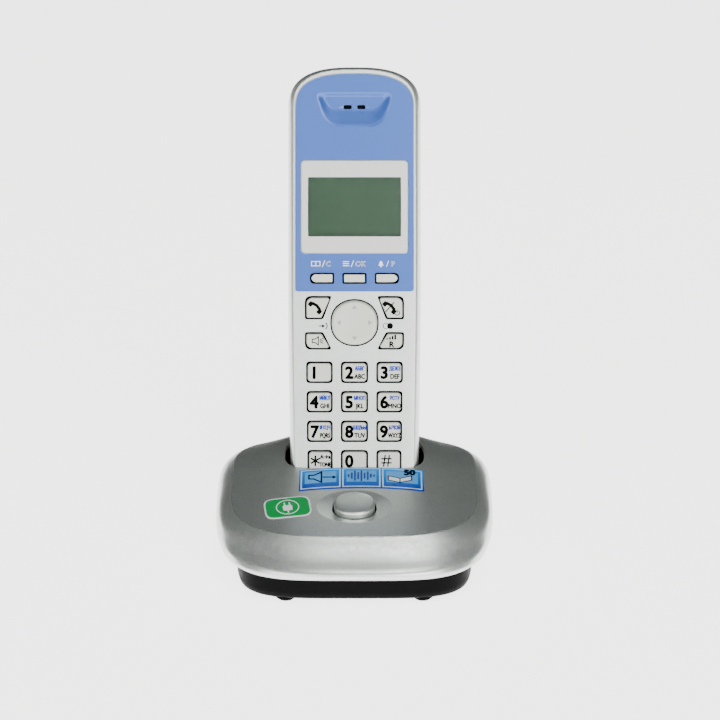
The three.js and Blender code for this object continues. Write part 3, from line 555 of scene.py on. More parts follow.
@dataclass(frozen=True)
class FlakeLacquer(Finish):
    """Metallic lacquer whose flakes catch the light one by one."""

    flake_scale: float = 5200.0
    flake: float = 0.12

    def shade(self, nodes: Nodes) -> bpy.types.NodeSocket:
        """Give each flake its own brightness."""
        base = linear(self.colour)
        cells = nodes.add("ShaderNodeTexVoronoi")
        cells.inputs["Scale"].default_value = self.flake_scale
        nodes.join(nodes.place, cells.inputs["Vector"])
        grey = nodes.add("ShaderNodeSeparateColor")
        nodes.join(cells.outputs["Color"], grey.inputs["Color"])
        low = [c * (1 - self.flake) for c in base]
        high = [min(1, c * (1 + self.flake)) for c in base]
        return nodes.blend(grey.outputs["Red"], low, high)


@dataclass(frozen=True)
class FadeFilm(Finish):
    """Printed film that fades from one colour to another from front to back."""

    other: tuple[int, int, int] = (255, 255, 255)
    start: float = 0.0
    end: float = 1.0

    def shade(self, nodes: Nodes) -> bpy.types.NodeSocket:
        """Fade along the object's depth."""
        parts = nodes.add("ShaderNodeSeparateXYZ")
        nodes.join(nodes.place, parts.inputs["Vector"])
        fade = nodes.add("ShaderNodeMapRange")
        fade.inputs["From Min"].default_value = self.start
        fade.inputs["From Max"].default_value = self.end
        nodes.join(parts.outputs["Y"], fade.inputs["Value"])
        return nodes.blend(fade.outputs["Result"], linear(self.colour), linear(self.other))


@dataclass(frozen=True)
class CrystalFilm(Finish):
    """Liquid crystal display that is switched off, with the faint grid of its cells."""

    def shade(self, nodes: Nodes) -> bpy.types.NodeSocket:
        """Lay a faint grid of cells over the colour."""
        turn = nodes.add("ShaderNodeMapping")
        turn.inputs["Rotation"].default_value = (math.radians(-70), 0, 0)
        nodes.join(nodes.place, turn.inputs["Vector"])
        grid = nodes.add("ShaderNodeTexBrick", offset=0.0)
        base = linear(self.colour)
        grid.inputs["Color1"].default_value = (*base, 1)
        grid.inputs["Color2"].default_value = (*[c * 0.97 for c in base], 1)
        grid.inputs["Mortar"].default_value = (*[c * 1.1 for c in base], 1)
        grid.inputs["Scale"].default_value = 1.0
        grid.inputs["Mortar Size"].default_value = 0.05 * MM
        grid.inputs["Brick Width"].default_value = 0.6 * MM
        grid.inputs["Row Height"].default_value = 0.6 * MM
        nodes.join(turn.outputs["Vector"], grid.inputs["Vector"])
        return grid.outputs["Color"]


class Finishes:
    """Every finish of the telephone."""

    silver = FlakeLacquer(
        "silver_lacquer", (206, 212, 207), roughness=0.33, metallic=0.85, coat=0.1, grain=0.04
    )
    blue = FlakeLacquer(
        "blue_lacquer", (56, 92, 168), roughness=0.34, metallic=0.35, coat=0.35, flake=0.06
    )
    keycap = Finish(
        "keycap_satin", (196, 198, 188), roughness=0.4, metallic=0.3, tint=0.03, grain=0.12
    )
    # Black moulding of the real black parts; also the painted shade on the walls of the key holes.
    black = Finish(
        "black_moulding_and_hole_shade",
        (2, 2, 2),
        roughness=0.5,
        gloss=0.05,
        tint=0.15,
        grain=0.35,
        grain_scale=1800
    )
    rubber = Finish(
        "black_rubber", (7, 7, 7), roughness=0.85, gloss=0.1, tint=0.2, grain=0.4, grain_scale=2400
    )
    border = Finish(
        "window_border", (206, 208, 204), roughness=0.25, coat=0.8, tint=0.01, grain=0.01
    )
    pane = Finish(
        "window_pane", (250, 252, 250), roughness=0.12, tint=0.01, grain=0.005, transmission=1.0
    )
    crystal = CrystalFilm("crystal_display", (62, 90, 68), roughness=0.4, gloss=0.1)
    guide = Finish("clear_guide", (222, 226, 222), roughness=0.3, tint=0.02)
    board = Finish(
        "board_laminate", (34, 92, 56), roughness=0.45, tint=0.2, tint_scale=400, grain=0.2
    )
    steel = Finish(
        "plated_steel", (205, 202, 192), roughness=0.25, metallic=1.0, tint=0.05, grain=0.1
    )
    gold = Finish("gold_contact", (214, 176, 92), roughness=0.22, metallic=1.0, tint=0.05)
    cell = Finish("cell_sleeve", (66, 142, 76), roughness=0.3, tint=0.08, coat=0.5)
    ink_black = Finish("ink_black", (2, 2, 2), roughness=0.7, gloss=0.05, tint=0.1)
    ink_blue = Finish("ink_blue", (40, 74, 215), roughness=0.6, gloss=0.1, tint=0.05)
    ink_deep = Finish("ink_deep_blue", (16, 48, 140), roughness=0.6, tint=0.05)
    ink_white = Finish("ink_white", (236, 240, 244), roughness=0.5, tint=0.02)
    ink_grey = Finish("ink_grey", (150, 152, 148), roughness=0.5, tint=0.03)
    label_green = Finish("sticker_green", (0, 150, 72), roughness=0.5, gloss=0.1, tint=0.03)
    label_pale = Finish(
        "label_pale", (176, 220, 250), roughness=0.3, gloss=0.15, tint=0.06, coat=0.1
    )
    film = FadeFilm(
        "feature_film",
        (4, 28, 150),
        roughness=0.3,
        gloss=0.15,
        coat=0.15,
        other=(10, 140, 225),
        start=-0.0245,
        end=-0.0115
    )
    film_panel = Finish("feature_panel", (84, 160, 226), roughness=0.3, gloss=0.15, coat=0.15)
    floor = Finish(
        "floor_paper",
        (244, 244, 243),
        roughness=0.9,
        gloss=0.1,
        glow=3.6,
        tint=0.005,
        tint_scale=4,
        grain=0.02
    )


# ------------------------------------------------------------------ artwork


class Artwork:
    """Thin printed shapes laid on a surface, drawn flat and then projected."""

    def __init__(self, project: Callable[[float, float, float], Vector], grid: float = 0.0) -> None:
        """Start an empty drawing.

        Args:
            project: gives the place of a drawn point at a height over the surface.
            grid: how finely to divide the drawing so that it follows a curved surface, or 0.
        """
        self.project = project
        self.grid = grid
        self.work = bmesh.new()

    def polygon(self, points: Sequence[Point], ink: int = 0) -> None:
        """Add a filled outline in one ink."""
        face = self.work.faces.new([self.work.verts.new((x, y, ink * 0.02)) for x, y in points])
        face.material_index = ink

    def stroke(
        self, points: Sequence[Point], width: float, ink: int = 0, closed: bool = False
    ) -> None:
        """Add a line of even width.

        Args:
            points: the line's corners.
            width: its width.
            ink: its ink.
            closed: whether its end joins its start.
        """
        count = len(points)
        sides: list[tuple[Point, Point]] = []
        for i, (x, y) in enumerate(points):
            before = points[i - 1] if i or closed else points[0]
            after = points[(i + 1) % count] if i < count - 1 or closed else points[-1]
            a = Vector((x - before[0], y - before[1]))
            b = Vector((after[0] - x, after[1] - y))
            a = (a if a.length else b).normalized()
            b = (b if b.length else a).normalized()
            along = (a + b).normalized()
            reach = width / 2 / max(0.4, along.dot(a))
            sides.append(
                (
                    (x - along.y * reach, y + along.x * reach),
                    (x + along.y * reach, y - along.x * reach)
                )
            )
        for i in range(count if closed else count - 1):
            (p, q), (r, s) = sides[i], sides[(i + 1) % count]
            self.polygon([p, q, s, r], ink)

    def arc(
        self,
        x: float,
        y: float,
        radius: float,
        width: float,
        low: float = 0,
        high: float = 360,
        ink: int = 0
    ) -> None:
        """Add an arc's line between two angles in degrees."""
        whole = high - low >= 360
        steps = max(4, int((high - low) / 18))
        angles = [
            math.radians(mix(low, high, i / steps)) for i in range(steps if whole else steps + 1)
        ]
        points = [(x + radius * math.cos(a), y + radius * math.sin(a)) for a in angles]
        self.stroke(points, width, ink, whole)

    def disc(self, x: float, y: float, radius: float, ink: int = 0) -> None:
        """Add a filled circle."""
        self.polygon(
            [
                (
                    x + radius * math.cos(i * math.tau / 20),
                    y + radius * math.sin(i * math.tau / 20)
                ) for i in range(20)
            ],
            ink
        )

    def text(
        self,
        words: str,
        x: float,
        y: float,
        height: float,
        ink: int = 0,
        bold: float = 0.0,
        wide: float = 1.0
    ) -> None:
        """Add words centred on a point, thickened by copies a little apart.

        Args:
            words: what to write.
            x: the middle of the words.
            y: the middle of their height.
            height: the height of a capital.
            ink: their ink.
            bold: how far apart the copies lie.
            wide: how much to stretch them sideways.
        """
        curve = bpy.data.curves.new("words", "FONT")
        curve.body = words
        curve.size = height / 0.73
        curve.align_x = "CENTER"
        curve.resolution_u = 3
        holder = bpy.data.objects.new("words", curve)
        bpy.context.scene.collection.objects.link(holder)
        mesh = evaluated(holder)
        before = len(self.work.faces)
        mesh.transform(
            Matrix.Translation((x, y - height / 2, 0)) @ Matrix.Diagonal((wide, 1, 1, 1))
        )
        steps = 8 if bold else 1
        for i in range(steps):
            angle = i / steps * math.tau
            copy = mesh.copy()
            copy.transform(Matrix.Translation((bold * math.cos(angle), bold * math.sin(angle), 0)))
            self.work.from_mesh(copy)
            bpy.data.meshes.remove(copy)
        self.work.faces.ensure_lookup_table()
        for face in self.work.faces[before:]:
            face.material_index = ink
        bpy.data.objects.remove(holder)
        bpy.data.curves.remove(curve)
        bpy.data.meshes.remove(mesh)

    def build(
        self, name: str, inks: Sequence[Finish], thickness: float = 0.03, lift: float = 0.0
    ) -> bpy.types.Object:
        """Give the drawing its thickness and lay it on its surface.

        Args:
            name: the object's name.
            inks: the finishes its ink numbers stand for.
            thickness: how thick the print is.
            lift: how far its underside stands off the surface.

        Returns:
            The printed object.
        """
        work = self.work
        if self.grid:
            spots = [v.co.copy() for v in work.verts]
            for axis in (0, 1):
                low = min(s[axis] for s in spots)
                high = max(s[axis] for s in spots)
                normal = Vector((1, 0, 0)) if axis == 0 else Vector((0, 1, 0))
                for i in range(1, int((high - low) / self.grid) + 1):
                    geometry = work.verts[:] + work.edges[:] + work.faces[:]
                    bmesh.ops.bisect_plane(
                        work,
                        geom=geometry,
                        plane_co=normal * (low + i * self.grid),
                        plane_no=normal
                    )
        raised = bmesh.ops.extrude_face_region(work, geom=work.faces[:], use_keep_orig=True)["geom"]
        for vert in [g for g in raised if isinstance(g, bmesh.types.BMVert)]:
            vert.co.z += thickness
        for vert in work.verts:
            vert.co = self.project(vert.co.x, vert.co.y, vert.co.z + lift)
        piece = from_bmesh(name, work)
        for ink in inks:
            piece.data.materials.append(ink.build())
        return piece


# ------------------------------------------------------------------ node-built pieces


class Builder:
    """A geometry node tree with named inputs that makes one kind of repeated piece."""

    def __init__(self, name: str) -> None:
        """Start an empty tree that gives out geometry."""
        self.tree = bpy.data.node_groups.new(name, "GeometryNodeTree")
        self.tree.interface.new_socket(
            name="Geometry", in_out="OUTPUT", socket_type="NodeSocketGeometry"
        )
        self.source = self.add("NodeGroupInput")
        self.target = self.add("NodeGroupOutput")

    def add(self, kind: str, **values: object) -> bpy.types.Node:
        """Add a node and set its own properties."""
        node = self.tree.nodes.new(kind)
        for name, value in values.items():
            setattr(node, name, value)
        return node

    def given(self, name: str, kind: str) -> bpy.types.NodeSocket:
        """Add a named input and give its socket."""
        self.tree.interface.new_socket(name=name, in_out="INPUT", socket_type="NodeSocket" + kind)
        return self.source.outputs[name]

    def join(self, source: bpy.types.NodeSocket, target: bpy.types.NodeSocket) -> None:
        """Link two sockets."""
        self.tree.links.new(source, target)

    def sum(self, kind: str, first: object, second: object) -> bpy.types.NodeSocket:
        """Do one sum on two sockets or numbers."""
        node = self.add("ShaderNodeMath", operation=kind)
        for slot, value in zip(node.inputs, (first, second)):
            if isinstance(value, (int, float)):
                slot.default_value = value
            else:
                self.join(value, slot)
        return node.outputs[0]

    def closed(
        self, sheet: bpy.types.NodeSocket, body: bpy.types.NodeSocket
    ) -> bpy.types.NodeSocket:
        """Close an extruded sheet with a turned copy of itself."""
        flip = self.add("GeometryNodeFlipFaces")
        self.join(sheet, flip.inputs[0])
        both = self.add("GeometryNodeJoinGeometry")
        self.join(flip.outputs[0], both.inputs[0])
        self.join(body, both.inputs[0])
        weld = self.add("GeometryNodeMergeByDistance")
        weld.inputs["Distance"].default_value = 0.001
        self.join(both.outputs[0], weld.inputs["Geometry"])
        return weld.outputs[0]

    def finish(self, geometry: bpy.types.NodeSocket) -> None:
        """End the tree in real geometry with its material."""
        real = self.add("GeometryNodeRealizeInstances")
        paint = self.add("GeometryNodeSetMaterial")
        self.join(geometry, real.inputs[0])
        self.join(real.outputs[0], paint.inputs["Geometry"])
        self.join(self.given("Material", "Material"), paint.inputs["Material"])
        self.join(paint.outputs[0], self.target.inputs[0])

    def make(self, name: str, place: Matrix, finish: Finish, **values: object) -> bpy.types.Object:
        """Run the tree and keep a plain mesh.

        Args:
            name: the object's name.
            place: where the tree's own frame lies.
            finish: the material it is given.
            values: the tree's inputs by name, with _ for a space.

        Returns:
            The plain object.
        """
        piece = link(name, bpy.data.meshes.new(name))
        step = piece.modifiers.new("build", "NODES")
        step.node_group = self.tree
        given = {key.replace("_", " "): value for key, value in values.items()}
        given["Material"] = finish.build()
        for item in self.tree.interface.items_tree:
            if item.in_out == "INPUT" and item.name in given:
                step[item.identifier] = given[item.name]
        bake(piece)
        work = bmesh.new()
        work.from_mesh(piece.data)
        discard(piece)
        solid = from_bmesh(name, work, place)
        solid.data.materials.append(finish.build())
        return solid


class KeycapBuilder(Builder):
    """Keycap from its four corners, each with its own rounding."""

    def __init__(self) -> None:
        """Build the tree."""
        super().__init__("keycap")
        outline = self.add("GeometryNodeCurvePrimitiveQuadrilateral", mode="POINTS")
        radius = self.add("GeometryNodeIndexSwitch", data_type="FLOAT")
        radius.index_switch_items.new()
        radius.index_switch_items.new()
        self.join(self.add("GeometryNodeInputIndex").outputs[0], radius.inputs["Index"])
        for i in range(4):
            self.join(self.given(f"Corner {i + 1}", "Vector"), outline.inputs[f"Point {i + 1}"])
            self.join(self.given(f"Radius {i + 1}", "Float"), radius.inputs[str(i)])
        fillet = self.add("GeometryNodeFilletCurve", mode="POLY")
        fillet.inputs["Count"].default_value = 6
        self.join(outline.outputs["Curve"], fillet.inputs["Curve"])
        self.join(radius.outputs[0], fillet.inputs["Radius"])
        fill = self.add("GeometryNodeFillCurve", mode="NGONS")
        self.join(fillet.outputs["Curve"], fill.inputs["Curve"])
        body = self.add("GeometryNodeExtrudeMesh", mode="FACES")
        self.join(fill.outputs[0], body.inputs["Mesh"])
        self.join(self.given("Depth", "Float"), body.inputs["Offset Scale"])
        self.finish(self.closed(fill.outputs[0], body.outputs["Mesh"]))


class BarRowBuilder(Builder):
    """Row of equal bars with rounded ends, for slots, ribs and contact strips."""

    def __init__(self) -> None:
        """Build the tree."""
        super().__init__("bar_row")
        line = self.add("GeometryNodeMeshLine", mode="OFFSET")
        self.join(self.given("Count", "Int"), line.inputs["Count"])
        self.join(self.given("Start", "Vector"), line.inputs["Start Location"])
        self.join(self.given("Pitch", "Vector"), line.inputs["Offset"])
        bar = self.add("GeometryNodeCurvePrimitiveQuadrilateral", mode="RECTANGLE")
        self.join(self.given("Length", "Float"), bar.inputs["Width"])
        self.join(self.given("Width", "Float"), bar.inputs["Height"])
        fillet = self.add("GeometryNodeFilletCurve", mode="POLY")
        fillet.inputs["Count"].default_value = 5
        self.join(bar.outputs["Curve"], fillet.inputs["Curve"])
        self.join(self.given("Radius", "Float"), fillet.inputs["Radius"])
        fill = self.add("GeometryNodeFillCurve", mode="NGONS")
        self.join(fillet.outputs["Curve"], fill.inputs["Curve"])
        body = self.add("GeometryNodeExtrudeMesh", mode="FACES")
        self.join(fill.outputs[0], body.inputs["Mesh"])
        self.join(self.given("Depth", "Float"), body.inputs["Offset Scale"])
        spread = self.add("GeometryNodeInstanceOnPoints")
        self.join(line.outputs["Mesh"], spread.inputs["Points"])
        self.join(self.closed(fill.outputs[0], body.outputs["Mesh"]), spread.inputs["Instance"])
        count = self.sum("SUBTRACT", self.source.outputs["Count"], 1.0)
        away = self.sum(
            "SUBTRACT",
            self.add("GeometryNodeInputIndex").outputs[0],
            self.sum("MULTIPLY", count, 0.5)
        )
        shorter = self.sum(
            "MULTIPLY", self.sum("ABSOLUTE", away, 0.0), self.given("Taper", "Float")
        )
        size = self.add("ShaderNodeCombineXYZ")
        size.inputs["Y"].default_value = 1.0
        size.inputs["Z"].default_value = 1.0
        self.join(self.sum("SUBTRACT", 1.0, shorter), size.inputs["X"])
        self.join(size.outputs[0], spread.inputs["Scale"])
        self.finish(spread.outputs["Instances"])


class ScrewRowBuilder(Builder):
    """Row of equal screws: shank, domed head and a cross recess."""

    def __init__(self) -> None:
        """Build the tree."""
        super().__init__("screw_row")
        line = self.add("GeometryNodeMeshLine", mode="OFFSET")
        self.join(self.given("Count", "Int"), line.inputs["Count"])
        self.join(self.given("Start", "Vector"), line.inputs["Start Location"])
        self.join(self.given("Pitch", "Vector"), line.inputs["Offset"])
        radius, head, length = (
            self.given(n, "Float") for n in ("Head Radius", "Head Height", "Length")
        )
        circle = self.add("GeometryNodeCurvePrimitiveCircle", mode="RADIUS")
        circle.inputs["Resolution"].default_value = 24
        self.join(radius, circle.inputs["Radius"])
        disc = self.add("GeometryNodeFillCurve", mode="NGONS")
        self.join(circle.outputs["Curve"], disc.inputs["Curve"])
        mesh, top = disc.outputs[0], None
        for rise, size in ((0.55, 1.0), (0.3, 0.86), (0.15, 0.8)):
            grow = self.add("GeometryNodeExtrudeMesh", mode="FACES")
            self.join(mesh, grow.inputs["Mesh"])
            if top is not None:
                self.join(top, grow.inputs["Selection"])
            self.join(self.sum("MULTIPLY", head, rise), grow.inputs["Offset Scale"])
            shrink = self.add("GeometryNodeScaleElements")
            shrink.inputs["Scale"].default_value = size
            self.join(grow.outputs["Mesh"], shrink.inputs["Geometry"])
            self.join(grow.outputs["Top"], shrink.inputs["Selection"])
            mesh, top = shrink.outputs["Geometry"], grow.outputs["Top"]
        solid = self.closed(disc.outputs[0], mesh)
        recess = self.add("GeometryNodeMeshBoolean", operation="DIFFERENCE")
        self.join(solid, recess.inputs["Mesh 1"])
        for turn in (0, 1):
            arm = self.add("GeometryNodeMeshCube")
            size = self.add("ShaderNodeCombineXYZ")
            self.join(self.sum("MULTIPLY", radius, 0.26 if turn else 1.2), size.inputs["X"])
            self.join(self.sum("MULTIPLY", radius, 1.2 if turn else 0.26), size.inputs["Y"])
            self.join(head, size.inputs["Z"])
            self.join(size.outputs[0], arm.inputs["Size"])
            shift = self.add("GeometryNodeTransform")
            lift = self.add("ShaderNodeCombineXYZ")
            self.join(head, lift.inputs["Z"])
            self.join(arm.outputs["Mesh"], shift.inputs["Geometry"])
            self.join(lift.outputs[0], shift.inputs["Translation"])
            self.join(shift.outputs[0], recess.inputs["Mesh 2"])
        shank = self.add("GeometryNodeMeshCylinder")
        shank.inputs["Vertices"].default_value = 16
        self.join(self.sum("MULTIPLY", radius, 0.5), shank.inputs["Radius"])
        self.join(length, shank.inputs["Depth"])
        sink = self.add("GeometryNodeTransform")
        drop = self.add("ShaderNodeCombineXYZ")
        self.join(self.sum("MULTIPLY", length, -0.495), drop.inputs["Z"])
        self.join(shank.outputs["Mesh"], sink.inputs["Geometry"])
        self.join(drop.outputs[0], sink.inputs["Translation"])
        both = self.add("GeometryNodeJoinGeometry")
        self.join(recess.outputs[0], both.inputs[0])
        self.join(sink.outputs[0], both.inputs[0])
        spread = self.add("GeometryNodeInstanceOnPoints")
        self.join(line.outputs["Mesh"], spread.inputs["Points"])
        self.join(both.outputs[0], spread.inputs["Instance"])
        self.finish(spread.outputs["Instances"])


# ------------------------------------------------------------------ handset


def facing(x: float, depth: float, z: float) -> Matrix:
    """Place a piece drawn flat, seen from the front, on the handset's face."""
    turn = Matrix(((1, 0, 0, 0), (0, 0, -1, 0), (0, 1, 0, 0), (0, 0, 0, 1)))
    return HANDSET @ Matrix.Translation((x, depth, z)) @ turn


def block(
    name: str, width: float, depth: float, height: float, low: Sequence[float], place: Matrix
) -> bpy.types.Object:
    """Make a tool block from its size and its lowest Y and Z, centred on its X."""
    x, y, z = low
    outline = [
        (x - width / 2, y),
        (x + width / 2, y),
        (x + width / 2, y + depth),
        (x - width / 2, y + depth)
    ]
    return upright(name, outline, z, z + height, place)


def turned(
    name: str, profile: Sequence[Point], place: Matrix, around: int = 40
) -> bpy.types.Object:
    """Turn a profile of radius and height about the upright axis.

    Args:
        name: the object's name.
        profile: radius and height from the bottom up, without the points on the axis.
        place: where its own frame lies.
        around: the number of sides.

    Returns:
        The closed object.
    """
    rings = [
        [
            Vector(
                (r * math.cos(i * math.tau / around), r * math.sin(i * math.tau / around), h)
            ) for i in range(around)
        ]
        for r, h in profile
    ]
    return loft(name, rings, place)


@dataclass
class HandsetForm:
    """Outline and thickness of the handset, which its two casings share."""

    width: float = 48.4
    side_taper: float = 1.1
    top_radius: float = 15.6
    bottom_radius: float = 14.0
    top_power: float = 2.7
    bottom_power: float = 2.6
    seam: float = 9.5
    bottom_thickness: float = 20.0
    thickness: float = 27.5
    cap_steps: int = 22
    side_steps: int = 14
    face_levels: tuple = (
        (0, 0, 0), (0.84, 0, 0), (0.9, 0, 0.4), (0.955, 0.8, 1.6), (0.988, 2.6, 3.8), (1, 6, 7)
    )
    back_levels: tuple = (
        (1, 0), (0.985, 0.3), (0.95, 0.52), (0.88, 0.72),
        (0.76, 0.87), (0.58, 0.96), (0.3, 1), (0, 1),
    )

    def thickness_at(self, z: float) -> float:
        """Give the casing's depth at a height."""
        widest = Layout.length * 0.7
        rise = math.sin(clamp(z / widest, 0, 1) * math.pi / 2) ** 1.2
        fall = max(0.0, (z - widest) / (Layout.length - widest)) ** 2
        return mix(self.bottom_thickness, self.thickness, rise) - 2 * fall

    def half_width_at(self, z: float) -> float:
        """Give half the casing's width at a height."""
        return self.width / 2 - self.side_taper * max(0.0, 1 - z / Layout.panel_bottom) ** 1.5

    def spokes(self, inset: float) -> list[tuple[float, float, float]]:
        """List the outline as a share across, a centre's height and a reach from that centre."""
        top, bottom = Layout.length - self.top_radius, self.bottom_radius
        found: list[tuple[float, float, float]] = []

        def cap(start: float, centre: float, radius: float, power: float) -> None:
            """Add the points of one rounded end.

            Args:
                start: the angle at which it starts, in radians.
                centre: the height of its centre.
                radius: its radius before the inset.
                power: how square it is.
            """
            for i in range(2 * self.cap_steps + 1):
                angle = start + i / (2 * self.cap_steps) * math.pi
                reach = (radius - inset) * signed_power(math.sin(angle), 2 / power)
                found.append((signed_power(math.cos(angle), 2 / power), centre, reach))

        def side(across: float, start: float, end: float) -> None:
            """Add the points of one straight side."""
            found.extend(
                (
                    across, mix(start, end, i / self.side_steps), 0.0
                ) for i in range(1, self.side_steps)
            )

        cap(0, top, self.top_radius, self.top_power)
        side(-1, top, bottom)
        cap(math.pi, bottom, self.bottom_radius, self.bottom_power)
        side(1, bottom, top)
        return found

    def outline(self, inset: float, share: float = 1.0) -> list[Point]:
        """Draw the casing's outline as seen from the front."""
        points = []
        for across, centre, reach in self.spokes(inset):
            z = centre + reach * share
            points.append(((self.half_width_at(z) - inset) * across * share, z))
        return points

    def solid(self, name: str, inset: float = 0.0, face_inset: float = 0.0) -> bpy.types.Object:
        """Make the whole casing as one solid, drawn in from its surface.

        Args:
            name: the object's name.
            inset: how far the sides and the back are drawn in.
            face_inset: how far the face is drawn in.

        Returns:
            The closed object.
        """
        rings: list[Ring] = []
        for share, at_top, at_bottom in refine(self.face_levels, 3):
            outline = self.outline(inset, clamp(share, 0, 1))
            rings.append([
                Vector(
                    (
                        x,
                        face_inset + max(
                            0.0, mix(at_bottom, at_top, clamp(z / Layout.length, 0, 1))
                        ),
                        z
                    )
                )
                for x, z in outline
            ])
        for share, depth in refine(self.back_levels, 3):
            outline = self.outline(inset, clamp(share, 0, 1))
            rings.append([
                Vector(
                    (x, mix(self.seam, self.thickness_at(z) - inset, clamp(depth, 0, 1)), z)
                ) for x, z in outline
            ])
        return loft(name, rings, HANDSET, pointed=True)


@dataclass
class HandsetCasing:
    """Front and rear casings of the handset, the battery cover and the screws."""

    form: HandsetForm
    wall: float = 1.8
    face_wall: float = 3.0
    gap: float = 0.3
    cover_width: float = 32.0
    cover_height: float = 62.0
    cover_bottom: float = 43.0
    cover_wall: float = 1.6
    cover_radius: float = 4.0
    tray_floor: float = 11.0
    tray_width: float = 23.2
    tray_height: float = 49.3
    pad_spread: float = 11.5
    pad_width: float = 5.0
    screw_x: float = 17.0
    screw_z: float = 27.0

    def front(self, holes: Sequence[bpy.types.Object], panel_inset: float) -> None:
        """Make the front casing.

        Args:
            holes: tools for the holes of the keys.
            panel_inset: how far inside the casing's outline the blue panel ends.
        """
        shell = self.form.solid("front_casing")
        wide = self.form.width + 2
        combine(
            shell,
            block("ahead", wide, 12.2, Layout.length + 4, (0, -4, -2), HANDSET),
            how=Join.KEEP
        )
        combine(shell, self.form.solid("hollow", self.wall, self.face_wall))
        recess = PanelForm(self.form, panel_inset - self.gap).outline()
        combine(shell, prism("recess", recess, -2, 1.5, HANDSET))
        view = rounded_box(35.5, 27.4, 1, 0, Layout.view)
        boss = rounded_box(31.3, 15.5, 4, 0, Layout.earpiece)
        voice = [
            (
                0.6 * math.cos(a / 16 * math.tau), 5.6 + 0.6 * math.sin(a / 16 * math.tau)
            ) for a in range(16)
        ]
        for name, outline in (("view", view), ("boss", boss)):
            combine(shell, prism(name, outline, 0, 8, HANDSET))
        combine(shell, *holes)
        combine(shell, upright("voice", [(x, z - 3) for x, z in voice], -5, 9, HANDSET))
        smooth(shell)
        self.blacken(shell)
        dress(shell, None, "handset", "silver_plastic", "handset_front_housing")

    def blacken(self, shell: bpy.types.Object) -> None:
        """Paint the walls of the key holes black, as painted shade in the gaps round the keys, in
        front of the black mat.
        """
        shell.data.materials.clear()
        for finish in (Finishes.silver, Finishes.black):
            shell.data.materials.append(finish.build())
        back = HANDSET.inverted()
        inward = Vector(joint("press_key_5")["axis"]).normalized()
        for face in shell.data.polygons:
            spot = back @ face.center
            inside = (
                abs(spot.x) < 19.2
                and 9 < spot.z < Layout.earpiece + 8
                and spot.y < self.face_wall + 0.1
            )
            # Painted shade: the side walls of the holes take the black material.
            if inside and abs(face.normal.dot(inward)) < 0.5:
                face.material_index = 1

    def cover_tool(self, grow: float) -> bpy.types.Object:
        """Make the prism that the battery cover's outline gives."""
        outline = rounded_box(
            self.cover_width + 2 * grow, self.cover_height + 2 * grow, self.cover_radius,
            0, self.cover_bottom + self.cover_height / 2,
        )
        return prism("cover_outline", outline, self.form.seam + 5, self.form.thickness + 4, HANDSET)

    def rear(self, bars: "BarRowBuilder") -> None:
        """Make the rear casing with its battery tray, sound slots and screw holes."""
        form, wide, deep = self.form, self.form.width + 2, self.form.thickness + 4
        cut = form.seam - 1.1
        shell = form.solid("rear_casing")
        combine(
            shell,
            block("behind", wide, deep, Layout.length + 4, (0, cut, -2), HANDSET),
            how=Join.KEEP
        )
        combine(shell, form.solid("hollow", self.wall, self.face_wall))
        tray = form.solid("tray", 0.05, 0.05)
        walls = block(
            "walls", self.cover_width + 3, deep, self.cover_height + 3,
            (0, self.tray_floor - 1.2, self.cover_bottom - 1.5), HANDSET,
        )
        combine(tray, walls, how=Join.KEEP)
        combine(shell, tray, how=Join.ADD)
        combine(shell, block(
            "cells", self.tray_width, deep, self.tray_height, (
                0, self.tray_floor, self.cover_bottom + 5
            ), HANDSET,
        ))
        pocket = self.cover_tool(self.gap)
        combine(pocket, form.solid("under_cover", self.cover_wall + self.gap))
        combine(shell, pocket)
        slots = bars.make(
            "rear_slots", facing(0, deep, Layout.length - 34), Finishes.black,
            Count=5, Start=(0, 0, 0), Pitch=(0, 2.8, 0), Length=13.0, Width=1.2, Radius=0.55,
            Depth=deep - form.seam - 6, Taper=0.15,
        )
        combine(shell, slots)
        for side in (-1, 1):
            x = side * self.pad_spread
            combine(shell, block("pad", self.pad_width + 0.6, 4.6, 4.4, (x, 13.7, -1.4), HANDSET))
            bore = turned(
                "bore", [(1.5, 0), (1.5, 30)], facing(side * self.screw_x, 40, self.screw_z)
            )
            combine(shell, bore)
        smooth(shell)
        dress(shell, Finishes.silver, "handset", "silver_plastic", "handset_rear_housing")

    def cover(self, bars: "BarRowBuilder") -> None:
        """Make the battery cover with its finger ribs."""
        lid = self.cover_tool(0)
        combine(lid, self.form.solid("casing"), how=Join.KEEP)
        combine(lid, self.form.solid("under", self.cover_wall))
        top = self.cover_bottom + self.cover_height
        depth = self.form.thickness_at(top - 10) - 0.5
        combine(lid, bars.make(
            "cover_grip", facing(0, depth + 6, top - 16.6), Finishes.black,
            Count=5, Start=(0, 0, 0), Pitch=(0, 2.4, 0), Length=14.0,
            Width=1.0, Radius=0.48, Depth=6.0, Taper=0.12,
        ))
        round_edges(lid, 0.25, 55)
        smooth(lid)
        dress(lid, Finishes.silver, "battery_cover", "silver_plastic", "battery_cover")

    def screws(self, builder: "ScrewRowBuilder") -> None:
        """Make the two screws of the rear casing."""
        flip = Matrix.Rotation(math.pi, 4, "Y")
        depth = self.form.thickness_at(self.screw_z) - 6
        for side, name in ((-1, "left"), (1, "right")):
            place = facing(side * self.screw_x, depth - 1.2, self.screw_z) @ flip
            made = builder.make(
                "rear_screw_" + name, place, Finishes.steel,
                Count=1, Start=(0, 0, 0), Pitch=(1, 0, 0),
                Head_Radius=1.3, Head_Height=1.2, Length=5.0,
            )
            smooth(made)
            dress(made, Finishes.steel, "handset", "contact_metal", "handset_screw_" + name)

    def contacts(self) -> None:
        """Make the charging pads in the bottom end."""
        for side, name in ((-1, "left"), (1, "right")):
            pad = block(
                "charge_pad_" + name,
                self.pad_width,
                4,
                0.8,
                (side * self.pad_spread, 14, 1.9),
                HANDSET
            )
            round_edges(pad, 0.25, 40, 3)
            smooth(pad)
            dress(pad, Finishes.gold, "handset", "contact_metal", "handset_charge_pad_" + name)


